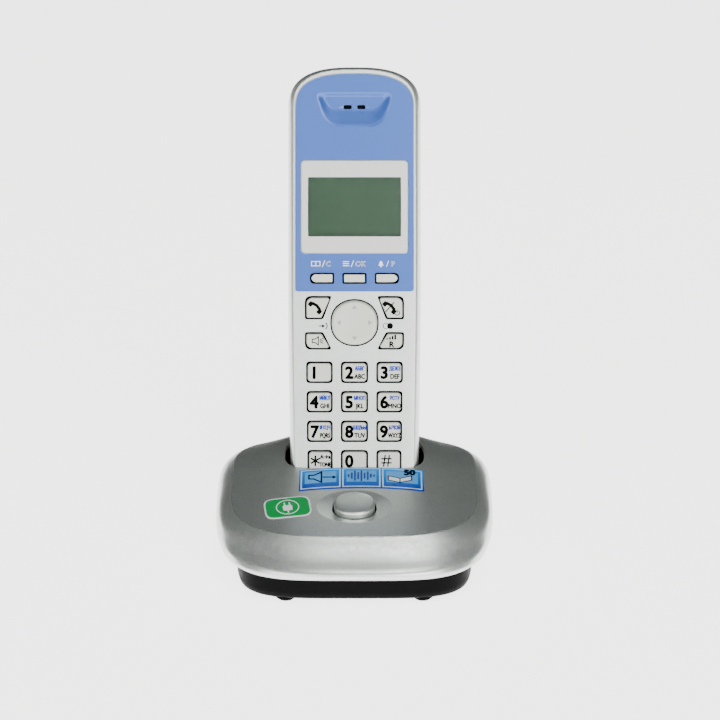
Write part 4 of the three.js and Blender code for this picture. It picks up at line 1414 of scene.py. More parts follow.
@dataclass
class PanelForm:
    """Outline of the face panel, which follows the casing with an even rim."""

    form: HandsetForm
    inset: float = 2.85
    corner: float = 1.2

    def outline(self, grow: float = 0.0) -> list[Point]:
        """Draw the panel's outline as seen from the front."""
        low = Layout.panel_bottom + grow
        around = [(x, z) for x, z in self.form.outline(self.inset + grow) if z > low + self.corner]
        start = max(range(len(around)), key=lambda i: (around[i][0] < 0) * 100 - around[i][1])
        around = around[start + 1:] + around[:start + 1]
        left, right = around[-1][0], around[0][0]
        corner = self.corner
        foot = [
            (left, low + corner * 0.5),
            (left + corner * 0.5, low),
            (right - corner * 0.5, low),
            (right, low + corner * 0.5)
        ]
        return around + foot


@dataclass
class FacePanel:
    """Blue panel with the earpiece bowl and its slots."""

    shape: PanelForm
    thickness: float = 1.2
    boss_depth: float = 3.2
    window_width: float = 39.1
    window_height: float = 34.0
    window_radius: float = 1.8
    bowl_top: float = 148.4
    bowl_bottom: float = 135.6
    bowl_depth: float = 1.15

    def bowl(self) -> bpy.types.Object:
        """Make the tool for the bowl, steep at its top and fading out below."""
        rings: list[Ring] = []
        steps = 14
        for i in range(-1, steps + 1):
            share = max(0, i) / steps
            depth = -0.6 if i < 0 else 0.03 + self.bowl_depth * smoothstep(share, 0, 1)
            top = self.bowl_top - 1.8 * share
            bottom = self.bowl_bottom + 7.0 * share
            wide, narrow = 14.4 - 3.0 * share, 10.4 - 2.4 * share
            corners = [(-narrow, bottom), (narrow, bottom), (wide, top), (-wide, top)]
            outline = rounded_polygon(
                corners, [6.0 - 2.6 * share, 6.0 - 2.6 * share, 3.2 - share, 3.2 - share], 12
            )
            rings.append([Vector((x, depth, z)) for x, z in outline])
        return loft("bowl", rings, HANDSET)

    def build(self, soft_holes: Sequence[bpy.types.Object]) -> None:
        """Make the panel."""
        panel = prism("blue_panel", self.shape.outline(), 0, self.thickness, HANDSET)
        boss = rounded_box(30.3, 14.5, 4, 0, Layout.earpiece)
        combine(
            panel, prism("boss", boss, self.thickness - 0.2, self.boss_depth, HANDSET), how=Join.ADD
        )
        window = rounded_box(
            self.window_width, self.window_height, self.window_radius, 0, Layout.display
        )
        combine(panel, prism("window", window, -1, 9, HANDSET), *soft_holes)
        combine(panel, self.bowl())
        for side in (-1, 1):
            slot = rounded_box(3.0, 1.5, 0.7, side * 2.5, 143.0)
            combine(panel, prism("slot", slot, -2, 9, HANDSET))
        round_edges(panel, 0.18, 50)
        smooth(panel)
        dress(panel, Finishes.blue, "handset", "blue_plastic", "face_panel")

    def marks(self) -> None:
        """Print the small pictures above the soft keys."""
        art = face_art(0.0)
        y = 86.1
        for x in (-15.6, -14.0):
            art.stroke(
                [(x, y + 0.8), (x + 1.5, y + 0.8), (x + 1.5, y - 0.8), (x, y - 0.8)], 0.25, 0, True
            )
        art.stroke([(-11.7, y - 1.2), (-10.8, y + 1.2)], 0.26)
        art.text("C", -9.5, y, 1.9, bold=0.08)
        for i in (-1, 0, 1):
            art.stroke([(-4.2, y + i * 0.75), (-1.9, y + i * 0.75)], 0.3)
        art.stroke([(-1.2, y - 1.2), (-0.3, y + 1.2)], 0.26)
        art.text("OK", 2.2, y, 1.9, bold=0.08)
        bell = [
            (8.6, y - 0.7),
            (10.6, y - 0.7),
            (10.2, y - 0.2),
            (10.1, y + 0.6),
            (9.6, y + 1.0),
            (9.1, y + 0.6),
            (9.0, y - 0.2)
        ]
        art.polygon(bell)
        art.disc(9.6, y - 1.0, 0.28)
        art.stroke([(11.6, y - 1.1), (12.4, y + 1.1)], 0.22)
        art.text("P", 14.0, y, 1.9, bold=0.08)
        made = art.build("soft_key_marks", [Finishes.ink_white])
        dress(made, None, "handset", "blue_plastic")


def face_art(depth: float, x: float = 0.0, z: float = 0.0) -> Artwork:
    """Start a drawing on a flat surface of the handset at a depth, about a point."""
    return Artwork(lambda a, b, c: HANDSET @ Vector((x + a, depth - c, z + b)))


@dataclass
class Display:
    """Display window: printed border and clear pane, in front of the crystal display."""

    width: float = 38.5
    height: float = 33.4
    radius: float = 1.8
    view_width: float = 33.8
    view_height: float = 21.5

    def build(self) -> None:
        """Make the window."""
        outline = rounded_box(self.width, self.height, self.radius, 0, Layout.display)
        border = prism("window_border", outline, 0, 1.0, HANDSET)
        view = rounded_box(self.view_width, self.view_height, 0.5, 0, Layout.view)
        combine(border, prism("view", view, -1, 2, HANDSET))
        round_edges(border, 0.15, 50)
        smooth(border)
        dress(border, Finishes.border, "handset", "clear_window", "display_window")
        outline = rounded_box(self.view_width - 0.02, self.view_height - 0.02, 0.5, 0, Layout.view)
        pane = prism("window_pane", outline, 0.25, 0.95, HANDSET)
        round_edges(pane, 0.1, 50)
        smooth(pane)
        dress(pane, Finishes.pane, "handset", "clear_window")


# ------------------------------------------------------------------ keys


class Icon(Enum):
    """Pictures on the function keys."""

    TALK = "talk"
    OFF = "off"
    LOUD = "speaker"
    RECALL = "flash"


@dataclass
class Keypad:
    """Digit keys, the four keys round the navigator and the soft keys, with their legends."""

    form: HandsetForm
    builder: KeycapBuilder
    gap: float = 0.62
    height: float = 4.4
    edge: float = 0.55
    hole_height: float = 7.9
    column_gap: float = 2.9
    margin: float = 3.0
    digit_radius: float = 1.5
    proud: float = 0.6
    soft_proud: float = 1.0
    letters: dict = field(default_factory=lambda: {
        "1": ("", ""), "2": ("ABC", "АБВГ"), "3": ("DEF", "ДЕЖЗ"),
        "4": ("GHI", "ИЙКЛ"), "5": ("JKL", "МНОП"),
        "6": ("MNO", "РСТУ"), "7": ("PQRS", "ФХЦЧ"), "8": ("TUV", "ШЩЪЫ"),
        "9": ("WXYZ", "ЬЭЮЯ"), "star": ("", ""),
        "0": ("_", ""), "hash": ("", ""),
    })

    def digit_cells(self) -> dict[str, tuple[float, float, float, float]]:
        """Place the twelve digit keys.

        Returns:
            Each key's middle across and up, and its hole's width and height.
        """
        cells = {}
        middle = (self.form.width / 2 * 0.86 - self.margin - self.column_gap) / 3
        for i, name in enumerate(self.letters):
            row, column = divmod(i, 3)
            z = Layout.last_row - row * Layout.row_pitch
            reach = self.form.half_width_at(z) * 0.86 - self.margin
            inner = middle + self.column_gap
            x = (column - 1) * (inner + reach) / 2
            cells[name] = (x, z, 2 * middle if column == 1 else reach - inner, self.hole_height)
        return cells

    def corner(self, side: int, upper: bool) -> tuple[float, float, list[Point], list[float]]:
        """Shape one of the four keys round the navigator.

        Args:
            side: -1 on the left and 1 on the right.
            upper: whether it stands above the navigator's middle.

        Returns:
            Its middle across and up, its hole's corners and their radii.
        """
        height = 8.5 if upper else 6.4
        z = Layout.navigator + 1.2 + height / 2 if upper else Layout.navigator - 3.4 - height / 2
        reach = self.form.width / 2 * 0.86 - 2.8
        wide = reach - 8.8 + 0.6
        half = height / 2
        low, high = (-wide / 2 + 3.2, -wide / 2) if upper else (-wide / 2, -wide / 2 + 3.2)
        corners = [(low, -half), (wide / 2, -half), (wide / 2, half), (high, half)]
        radii = [0.8, 0.9, 2.4, 1.0] if upper else [1.0, 2.4, 0.9, 0.8]
        if side < 0:
            corners = [(-x, y) for x, y in reversed(corners)]
            radii = list(reversed(radii))
        return side * (reach - wide / 2), z, corners, radii

    def shapes(self) -> dict[str, tuple[float, float, list[Point], list[float], float]]:
        """List every key's hole.

        Returns:
            For each key its middle, its corners, their radii and how far it stands proud.
        """
        found = {}
        for name, (x, z, w, h) in self.digit_cells().items():
            corners = [(-w / 2, -h / 2), (w / 2, -h / 2), (w / 2, h / 2), (-w / 2, h / 2)]
            found["key_" + name] = (x, z, corners, [self.digit_radius] * 4, self.proud)
        for name, side, upper in (
            ("key_talk", -1, True), ("key_off", 1, True),
            ("key_speaker", -1, False), ("key_flash", 1, False),
        ):
            found[name] = (*self.corner(side, upper), self.proud)
        for i, name in enumerate(("soft_key_left", "soft_key_middle", "soft_key_right")):
            w, h = 4.4, 2.0
            left, right = (h - 0.05 if i == 0 else 0.6), (h - 0.05 if i == 2 else 0.6)
            corners = [(-w, -h), (w, -h), (w, h), (-w, h)]
            found[name] = (
                (i - 1) * 11.8,
                Layout.soft_keys,
                corners,
                [left, right, right, left],
                self.soft_proud
            )
        return found

    def holes(self, soft: bool, face: bool = True) -> list[bpy.types.Object]:
        """Make the tools for the keys' holes.

        Args:
            soft: whether the soft keys are wanted.
            face: whether the other keys are wanted.

        Returns:
            One tool for each key.
        """
        tools = []
        for name, (x, z, corners, radii, _) in self.shapes().items():
            if soft if name.startswith("soft") else face:
                tools.append(
                    prism(
                        name + "_hole", moved(rounded_polygon(corners, radii), x, z), -2, 7, HANDSET
                    )
                )
        return tools

    def caps(self) -> None:
        """Make the keycaps."""
        for name, (x, z, corners, radii, proud) in self.shapes().items():
            middle = Vector((sum(a for a, _ in corners) / 4, sum(b for _, b in corners) / 4))
            values: dict[str, object] = {}
            for i, (corner, radius) in enumerate(zip(corners, radii)):
                inward = Vector(
                    (math.copysign(1, middle.x - corner[0]), math.copysign(1, middle.y - corner[1]))
                )
                spot = Vector(corner) + inward * self.gap
                values[f"Corner_{i + 1}"] = (spot.x, spot.y, 0.0)
                values[f"Radius_{i + 1}"] = max(0.2, radius - self.gap / 2)
            place = facing(x, self.height - proud, z)
            cap = self.builder.make(
                "cap_" + name, place, Finishes.keycap, Depth=self.height, **values
            )
            round_edges(cap, self.edge, 55, 4)
            smooth(cap, 40)
            dress(cap, Finishes.keycap, name, "key_plastic", name)

    def legends(self) -> None:
        """Print the digits and letters."""
        for name, (x, z, _, _) in self.digit_cells().items():
            art = face_art(-self.proud, x, z)
            latin, other = self.letters[name]
            if name == "star":
                for turn in range(3):
                    a = math.radians(turn * 60 + 30)
                    art.stroke(
                        [
                            (-1.7 - 1.9 * math.cos(a), -1.9 * math.sin(a)),
                            (-1.7 + 1.9 * math.cos(a), 1.9 * math.sin(a))
                        ],
                        0.62
                    )
                art.text("A→a", 1.95, 1.5, 1.35, bold=0.12)
                art.text("TONE", 1.9, -1.3, 1.5, bold=0.11, wide=0.74)
            elif name == "hash":
                for side in (-0.75, 0.75):
                    art.stroke([(-1.2 + side, -2.1), (-0.6 + side, 2.1)], 0.5)
                    art.stroke([(-2.8, side), (1.0, side)], 0.5)
            else:
                art.text(name, -1.9, 0, 4.4, bold=0.26)
                wide = 0.86 if len(latin) < 4 else 0.66
                art.text(latin, 1.9, -1.45, 1.7, bold=0.1, wide=wide)
                art.text(other, 1.9, 1.4, 1.45, ink=1, bold=0.11, wide=0.68)
            made = art.build("legend_key_" + name, [Finishes.ink_black, Finishes.ink_blue])
            dress(made, None, "key_" + name, "key_plastic")

    def pictures(self) -> None:
        """Print the pictures of the function keys."""
        for icon, side, upper in (
            (Icon.TALK, -1, True), (Icon.OFF, 1, True),
            (Icon.LOUD, -1, False), (Icon.RECALL, 1, False),
        ):
            x, z, _, _ = self.corner(side, upper)
            art = face_art(-self.proud, x, z)
            if icon in (Icon.TALK, Icon.OFF):
                x0 = 0.4 * side - 0.6
                tilt = Matrix.Rotation(math.radians(-42), 2)
                spots = [
                    tilt @ Vector(
                        (2.3 * math.cos(t), 1.3 * math.sin(t) - 0.6)
                    ) for t in (0.35, 0.8, 1.57, 2.34, 2.79)
                ]
                art.stroke([(x0 + p.x, p.y + 0.2) for p in spots], 1.1)
                for end in (-1, 1):
                    horn = [
                        tilt @ Vector(p) for p in moved(
                            rounded_box(1.6, 1.8, 0.5), end * 2.1, -0.35
                        )
                    ]
                    art.polygon([(x0 + p.x, p.y + 0.2) for p in horn])
                if icon is Icon.OFF:
                    art.stroke([(x0 - 1.6, -1.5), (x0 + 1.5, 2.0)], 0.4)
                    art.arc(2.4, -1.9, 0.85, 0.3, 120, 420)
                    art.stroke([(2.4, -1.8), (2.4, -0.8)], 0.32)
            elif icon is Icon.LOUD:
                art.stroke(
                    [(-2.2, -0.6), (-1.2, -0.6), (0, -1.5), (0, 1.5), (-1.2, 0.6), (-2.2, 0.6)],
                    0.35,
                    0,
                    True
                )
                for rise in (-0.9, 0, 0.9):
                    art.stroke([(0.6, rise * 0.5), (1.9, rise)], 0.32)
            else:
                art.text("R", 0.3, -1.2, 2.1, bold=0.14)
                for i in range(4):
                    left, top = -1.5 + i * 0.95, 0.95 + i * 0.42
                    art.polygon(
                        [(left, 0.45), (left + 0.62, 0.45), (left + 0.62, top), (left, top)]
                    )
            made = art.build("picture_" + icon.value, [Finishes.ink_black])
            dress(made, None, "key_" + icon.value, "key_plastic")

    def prints(self) -> None:
        """Print the two small pictures beside the navigator on the casing."""
        art = face_art(0.0)
        y = Layout.navigator - 1.2
        art.stroke([(-13.0, y), (-11.2, y)], 0.35)
        art.polygon([(-11.7, y - 0.7), (-10.7, y), (-11.7, y + 0.7)])
        art.arc(-11.2, y, 1.3, 0.35, -60, 60)
        art.arc(11.4, y, 1.0, 0.22)
        art.disc(12.9, y, 1.1)
        made = art.build("side_prints", [Finishes.ink_black])
        dress(made, None, "handset", "silver_plastic")


@dataclass
class Navigator:
    """Round rocking key with a shallow dish and four raised arrows."""

    radius: float = 8.8
    flat: float = 8.6
    gap: float = 0.5
    proud: float = 0.8
    dish: float = 0.35

    def hole(self) -> bpy.types.Object:
        """Make the tool for its hole."""
        outline = moved(flattened_circle(self.radius, self.flat), 0, Layout.navigator)
        return prism("navigator_hole", outline, -2, 7, HANDSET)

    def build(self) -> None:
        """Make the key and its arrows."""
        across, up = self.radius - self.gap, self.flat - self.gap
        rings: list[Ring] = []
        for share, depth in (
            (1.0, 3.4), (1.0, -self.proud + 0.8),
            (0.99, -self.proud + 0.55), (0.96, -self.proud + 0.3),
            (0.92, -self.proud + 0.1), (0.87, -self.proud),
            (0.7, -self.proud + 0.1), (0.5, -self.proud + 0.22),
            (0.25, -self.proud + 0.33), (0.05, -self.proud + self.dish),
        ):
            outline = flattened_circle(across * share, up * share, 72)
            rings.append([Vector((x, depth, z + Layout.navigator)) for x, z in outline])
        disc = loft("navigator_cap", rings, HANDSET)
        smooth(disc, 50)
        dress(disc, Finishes.keycap, "navigator_rock", "key_plastic", "navigator_key")
        art = Artwork(
            lambda a,
            b,
            c: HANDSET @ Vector((a, -self.proud + self.dip(a, b) - c, Layout.navigator + b))
        )
        for turn in range(4):
            c, s = math.cos(turn * math.pi / 2), math.sin(turn * math.pi / 2)
            arrow = [(5.0, -1.0), (6.4, 0.0), (5.0, 1.0)]
            art.polygon([(x * c - y * s, x * s + y * c) for x, y in arrow])
        made = art.build("navigator_arrows", [Finishes.ink_grey], 0.06)
        dress(made, None, "navigator_rock", "key_plastic")

    def dip(self, x: float, y: float) -> float:
        """Give how far the dish lies below its rim at a place."""
        return self.dish * max(0.0, 1 - (math.hypot(x, y) / (self.radius * 0.86)) ** 1.8)


# ------------------------------------------------------------------ base


@dataclass
class BaseForm:
    """Shape of the base's two casings."""

    width: float = 99.8
    depth: float = 84.0
    front_seam: float = 11.0
    back_seam: float = 16.0
    ridge_height: float = 23.65
    ridge_inset: float = 11.2
    slope: float = 0.25
    level_out: float = 47.7
    crest_height: float = 6.0
    crest_half: float = 34.0
    around: int = 168
    rings: tuple = (
        (5, 1.4, 3, 3.8, 3.8, 0), (2, 0.3, 1, 3.4, 3.8, 0.11),
        (0.9, 0, 0, 3.1, 4.2, 0.24), (0.3, 1, 0, 3, 4.6, 0.37),
        (0, 4.6, 0.6, 3, 5, 0.57), (1, 8.2, 2, 3.2, 5.2, 0.79), (3.2, 10, 3.4, 3.2, 5, 0.92),
        (6, 11.2, 5.4, 3.2, 4.8, 1),
    )

    def top_height(self, x: float, y: float) -> float:
        """Give the height of the sloping top at a place."""
        run = y - self.ridge_inset
        past = max(0.0, y - self.level_out)
        spine = self.ridge_height + self.slope * run - 0.0068 * past ** 2
        drop = 0.9 + 0.03 * max(0.0, run)
        crown = drop * abs(x / 43.4) ** 4
        across = max(0.0, 1 - (x / self.crest_half) ** 2) ** 2
        crest = self.crest_height * across * smoothstep(y, self.depth - 19, self.depth - 8)
        return spine - crown + crest

    def seam_height(self, y: float) -> float:
        """Give the height of the seam between the casings."""
        return mix(self.front_seam, self.back_seam, y / self.depth)

    def ring(
        self, row: Sequence[float], inset: float, shrink: float = 1.0, low: float = 0.0
    ) -> Ring:
        """Draw one ring of the upper casing."""
        side, front, back, ahead, behind, share = row
        centre = (self.depth + front - back) / 2
        half_x = (self.width / 2 - max(0.0, side) - inset) * shrink
        half_y = ((self.depth - max(0.0, front) - max(0.0, back)) / 2 - inset) * shrink
        points = []
        for i in range(self.around):
            angle = i / self.around * math.tau
            power = 2 / (ahead if math.sin(angle) < 0 else behind)
            x = half_x * signed_power(math.cos(angle), power)
            y = centre + half_y * signed_power(math.sin(angle), power)
            z = mix(self.seam_height(y), self.top_height(x, y), share) - inset * share - low
            points.append(Vector((x, y, z)))
        return points

    def upper(self, name: str, inset: float = 0.0, groove: float = 0.0) -> bpy.types.Object:
        """Make the upper casing as a solid, drawn in from its surface.

        Args:
            name: the object's name.
            inset: how far it is drawn in.
            groove: depth of the line cut just outside the ridge.

        Returns:
            The closed object.
        """
        rows = refine(self.rings, 3)
        sides = [
            self.ring(row, inset, 1.0, inset * 2 if i == 0 else 0.0) for i, row in enumerate(rows)
        ]
        if groove:
            last, before = rows[-1], rows[-2]
            for share, depth in ((0.35, 0.0), (0.45, groove), (0.6, groove), (0.7, 0.0)):
                row = [mix(a, b, share) for a, b in zip(before, last)]
                sides.insert(-1, [
                    point - Vector(
                        (point.x, point.y - self.depth / 2, 0)
                    ).normalized() * depth - Vector((0, 0, depth))
                    for point in self.ring(row, inset)
                ])
        shares = [1 - 0.97 * (i / 20) ** 1.0 for i in range(1, 21)]
        top = [self.ring(rows[-1], inset, share) for share in (0.985, *shares, 0)]
        start = self.ring(rows[0], inset, 0, inset * 2)
        return loft(name, [start, *sides, *top], BASE, pointed=True)

    def tub(self, name: str, inset: float = 0.0) -> bpy.types.Object:
        """Make the lower casing as a solid, drawn in from its surface."""
        front, back = 5.2 + inset, self.depth - 5 - inset
        half_x, half_y = self.width / 2 - 7.7 - inset, (back - front) / 2
        floor = 1.7 + inset
        rings: list[Ring] = []
        for narrow, height in (
            (2.0, 0.0), (1.5, 0.2), (0.9, 0.7), (0.55, 1.3), (0.3, 2.2), (0.1, 3.2), (0, None)
        ):
            ring = []
            for i in range(120):
                angle = i / 120 * math.tau
                x = (half_x - narrow) * signed_power(math.cos(angle), 2 / 4.4)
                y = (front + back) / 2 + (half_y - narrow) * signed_power(math.sin(angle), 2 / 4.4)
                high = self.seam_height(y) + 2.6 + inset if height is None else floor + height
                ring.append(Vector((x, y, high)))
            rings.append(ring)
        return loft(name, rings, BASE)


def well(name: str, grow: float, low: float, high: float, steps: int = 120) -> bpy.types.Object:
    """Make the solid of the handset's well, which leans with the handset."""
    points = []
    for i in range(steps):
        angle = i / steps * math.tau
        ahead = math.sin(angle) < 0
        power = 2 / (5.0 if ahead else 2.6)
        x = (25.4 + grow) * signed_power(math.cos(angle), power)
        reach = (12.2 if ahead else 12.3) + grow
        points.append((x, 11.2 + reach * signed_power(math.sin(angle), power)))
    return upright(name, points, low, high, HANDSET)


@dataclass
class BaseCasing:
    """Upper and lower casings of the base, with the liner of the well."""

    form: BaseForm
    wall: float = 1.8
    tub_wall: float = 1.6
    gap: float = 0.3
    screw_x: float = 31.0
    screw_y: float = 63.0

    def upper(self, seat: "ButtonSeat") -> None:
        """Make the silver upper casing."""
        shell = self.form.upper("upper_casing", 0, 0.35)
        combine(shell, self.form.upper("hollow", self.wall))
        combine(shell, well("well", 0, -6, 80))
        combine(shell, seat.dish(), seat.hole())
        smooth(shell, 30)
        dress(shell, Finishes.silver, "base", "silver_plastic", "base_upper_housing")

    def lower(self, bars: BarRowBuilder) -> None:
        """Make the black lower casing with its vents and socket openings."""
        shell = self.form.tub("lower_casing")
        combine(shell, self.form.tub("hollow", self.tub_wall))
        for x, width in ((-14, 13), (14, 9)):
            combine(
                shell, block("opening", width + 0.6, 20, 8.8, (x, self.form.depth - 15, 3.3), BASE)
            )
        for side in (-1, 1):
            place = BASE @ Matrix.Translation((side * self.screw_x, self.screw_y, 0))
            combine(shell, turned("boss", [(4, 1.8), (4, 5.8)], place), how=Join.ADD)
            combine(shell, turned("bore", [(2.7, -1), (2.7, 4.2)], place))
            combine(shell, turned("through", [(1.5, -1), (1.5, 11)], place))
        combine(shell, bars.make(
            "vents", BASE @ Matrix.Translation((0, 32, -0.5)), Finishes.black,
            Count=7, Start=(0, 0, 0), Pitch=(0, 3.6, 0), Length=16.0,
            Width=1.6, Radius=0.75, Depth=6.0, Taper=0.0,
        ))
        round_edges(shell, 0.2, 60, 2)
        smooth(shell)
        dress(shell, Finishes.black, "base", "black_plastic", "base_lower_housing")

    def liner(self) -> None:
        """Make the black liner of the well."""
        cup = well("well_liner", 1.2, -1.6, 70)
        combine(cup, well("room", 0, -0.4, 71))
        combine(cup, self.form.upper("under_top", 1.2), how=Join.KEEP)
        for side in (-1, 1):
            combine(cup, block("slot", 2.6, 5.2, 10, (side * 11.5, 13.4, -8.4), HANDSET))
        smooth(cup)
        dress(cup, Finishes.black, "base", "black_plastic", "cradle_liner")

    def contacts(self) -> None:
        """Make the charging contacts, rounded at their tips."""
        for side, name in ((-1, "left"), (1, "right")):
            body = "charge_contact_" + name
            blade = block("contact_" + name, 1.4, 4, 8.4, (side * 11.5, 14, -6.8), HANDSET)
            round_edges(blade, 0.45, 40, 3)
            smooth(blade)
            dress(blade, Finishes.gold, body, "contact_metal", body)

    def screws(self, builder: ScrewRowBuilder) -> None:
        """Make the two screws under the base."""
        for side, name in ((-1, "left"), (1, "right")):
            place = BASE @ Matrix.Translation(
                (side * self.screw_x, self.screw_y, 4.1)
            ) @ Matrix.Rotation(math.pi, 4, "X")
            made = builder.make(
                "base_fixing_" + name, place, Finishes.steel,
                Count=1, Start=(0, 0, 0), Pitch=(1, 0, 0),
                Head_Radius=2.2, Head_Height=1.5, Length=8.0,
            )
            smooth(made)
            dress(made, Finishes.steel, "base", "contact_metal", "base_screw_" + name)

    def feet(self) -> None:
        """Make the four rubber feet."""
        for side, left in ((-1, "left"), (1, "right")):
            for end, y in (("front", 11.5), ("rear", 69.0)):
                place = BASE @ Matrix.Translation((side * 24.2, y, 0))
                profile = [
                    (2.5, 0),
                    (2.75, 0.08),
                    (2.8, 0.25),
                    (2.8, 0.9),
                    (3.7, 0.9),
                    (3.8, 1.0),
                    (3.8, 1.45)
                ]
                foot = turned(f"pad_{end}_{left}", profile, place)
                smooth(foot)
                dress(foot, Finishes.rubber, "base", "dark_rubber", f"foot_{end}_{left}")

    def sockets(self, bars: BarRowBuilder) -> None:
        """Put the sprung wires in the line socket."""
        back = self.form.depth - 5.6
        turn = Matrix.Rotation(math.pi / 2, 4, "Z")
        place = BASE @ Matrix.Translation((-14, back - 6, 9.6)) @ turn
        wires = bars.make(
            "line_socket_wires", place, Finishes.gold,
            Count=4, Start=(0, -1.8, 0), Pitch=(0, 1.2, 0), Length=10.0,
            Width=0.4, Radius=0.15, Depth=0.4, Taper=0.0,
        )
        smooth(wires)
        dress(wires, Finishes.gold, "base", "contact_metal")


@dataclass
class ButtonSeat:
    """Dish in the sloping top and the locator button in it."""

    form: BaseForm
    width: float = 14.7
    flat: float = 6.7
    gap: float = 0.6
    proud: float = 1.8
    dish_width: float = 27.0
    dish_length: float = 19.5
    dish_depth: float = 1.3
    share: float = 0.423

    def place(self) -> Matrix:
        """Give the frame of the seat: its Z stands square on the top."""
        y = mix(self.form.ridge_inset, 52.0, self.share)
        spot = Matrix.Translation((0, y, self.form.top_height(0, y)))
        return BASE @ spot @ Matrix.Rotation(math.atan(self.form.slope), 4, "X")

    def dish(self) -> bpy.types.Object:
        """Make the tool for the dish."""
        height = 6.0
        section = math.sqrt(1 - ((height - self.dish_depth) / height) ** 2)
        across, along = self.dish_width / 2 / section, self.dish_length / 2 / section
        rings: list[Ring] = []
        for i in range(1, 24):
            angle = i / 24 * math.pi
            share, z = math.sin(angle), -math.cos(angle) * height + height - self.dish_depth
            rings.append([
                Vector(
                    (
                        across * share * math.cos(a / 96 * math.tau),
                        along * share * math.sin(a / 96 * math.tau),
                        z
                    )
                )
                for a in range(96)
            ])
        return loft("dish", rings, self.place())

    def hole(self) -> bpy.types.Object:
        """Make the tool for the button's hole."""
        outline = flattened_circle(self.width / 2 + self.gap, self.flat + self.gap, 96)
        return upright("button_hole", outline, -10, 10, self.place())

    def button(self) -> None:
        """Make the button, domed, with a rounded rim."""
        rings: list[Ring] = []
        for inset, height in (
            (0, -3.4), (0, self.proud - 0.9), (0.1, self.proud - 0.5),
            (0.3, self.proud - 0.22), (0.6, self.proud - 0.05),
            (1.0, self.proud + 0.05), (2.4, self.proud + 0.25),
            (4.4, self.proud + 0.36), (6.2, self.proud + 0.4),
        ):
            outline = flattened_circle(self.width / 2 - inset, self.flat - inset, 96)
            rings.append([Vector((x, y, height)) for x, y in outline])
        cap = loft("locator_cap", rings, self.place())
        stem = turned("stem", [(2, -7), (2, -3)], self.place())
        combine(cap, stem, how=Join.ADD)
        smooth(cap, 45)
        dress(cap, Finishes.silver, "locator_button", "silver_plastic", "locator_button")


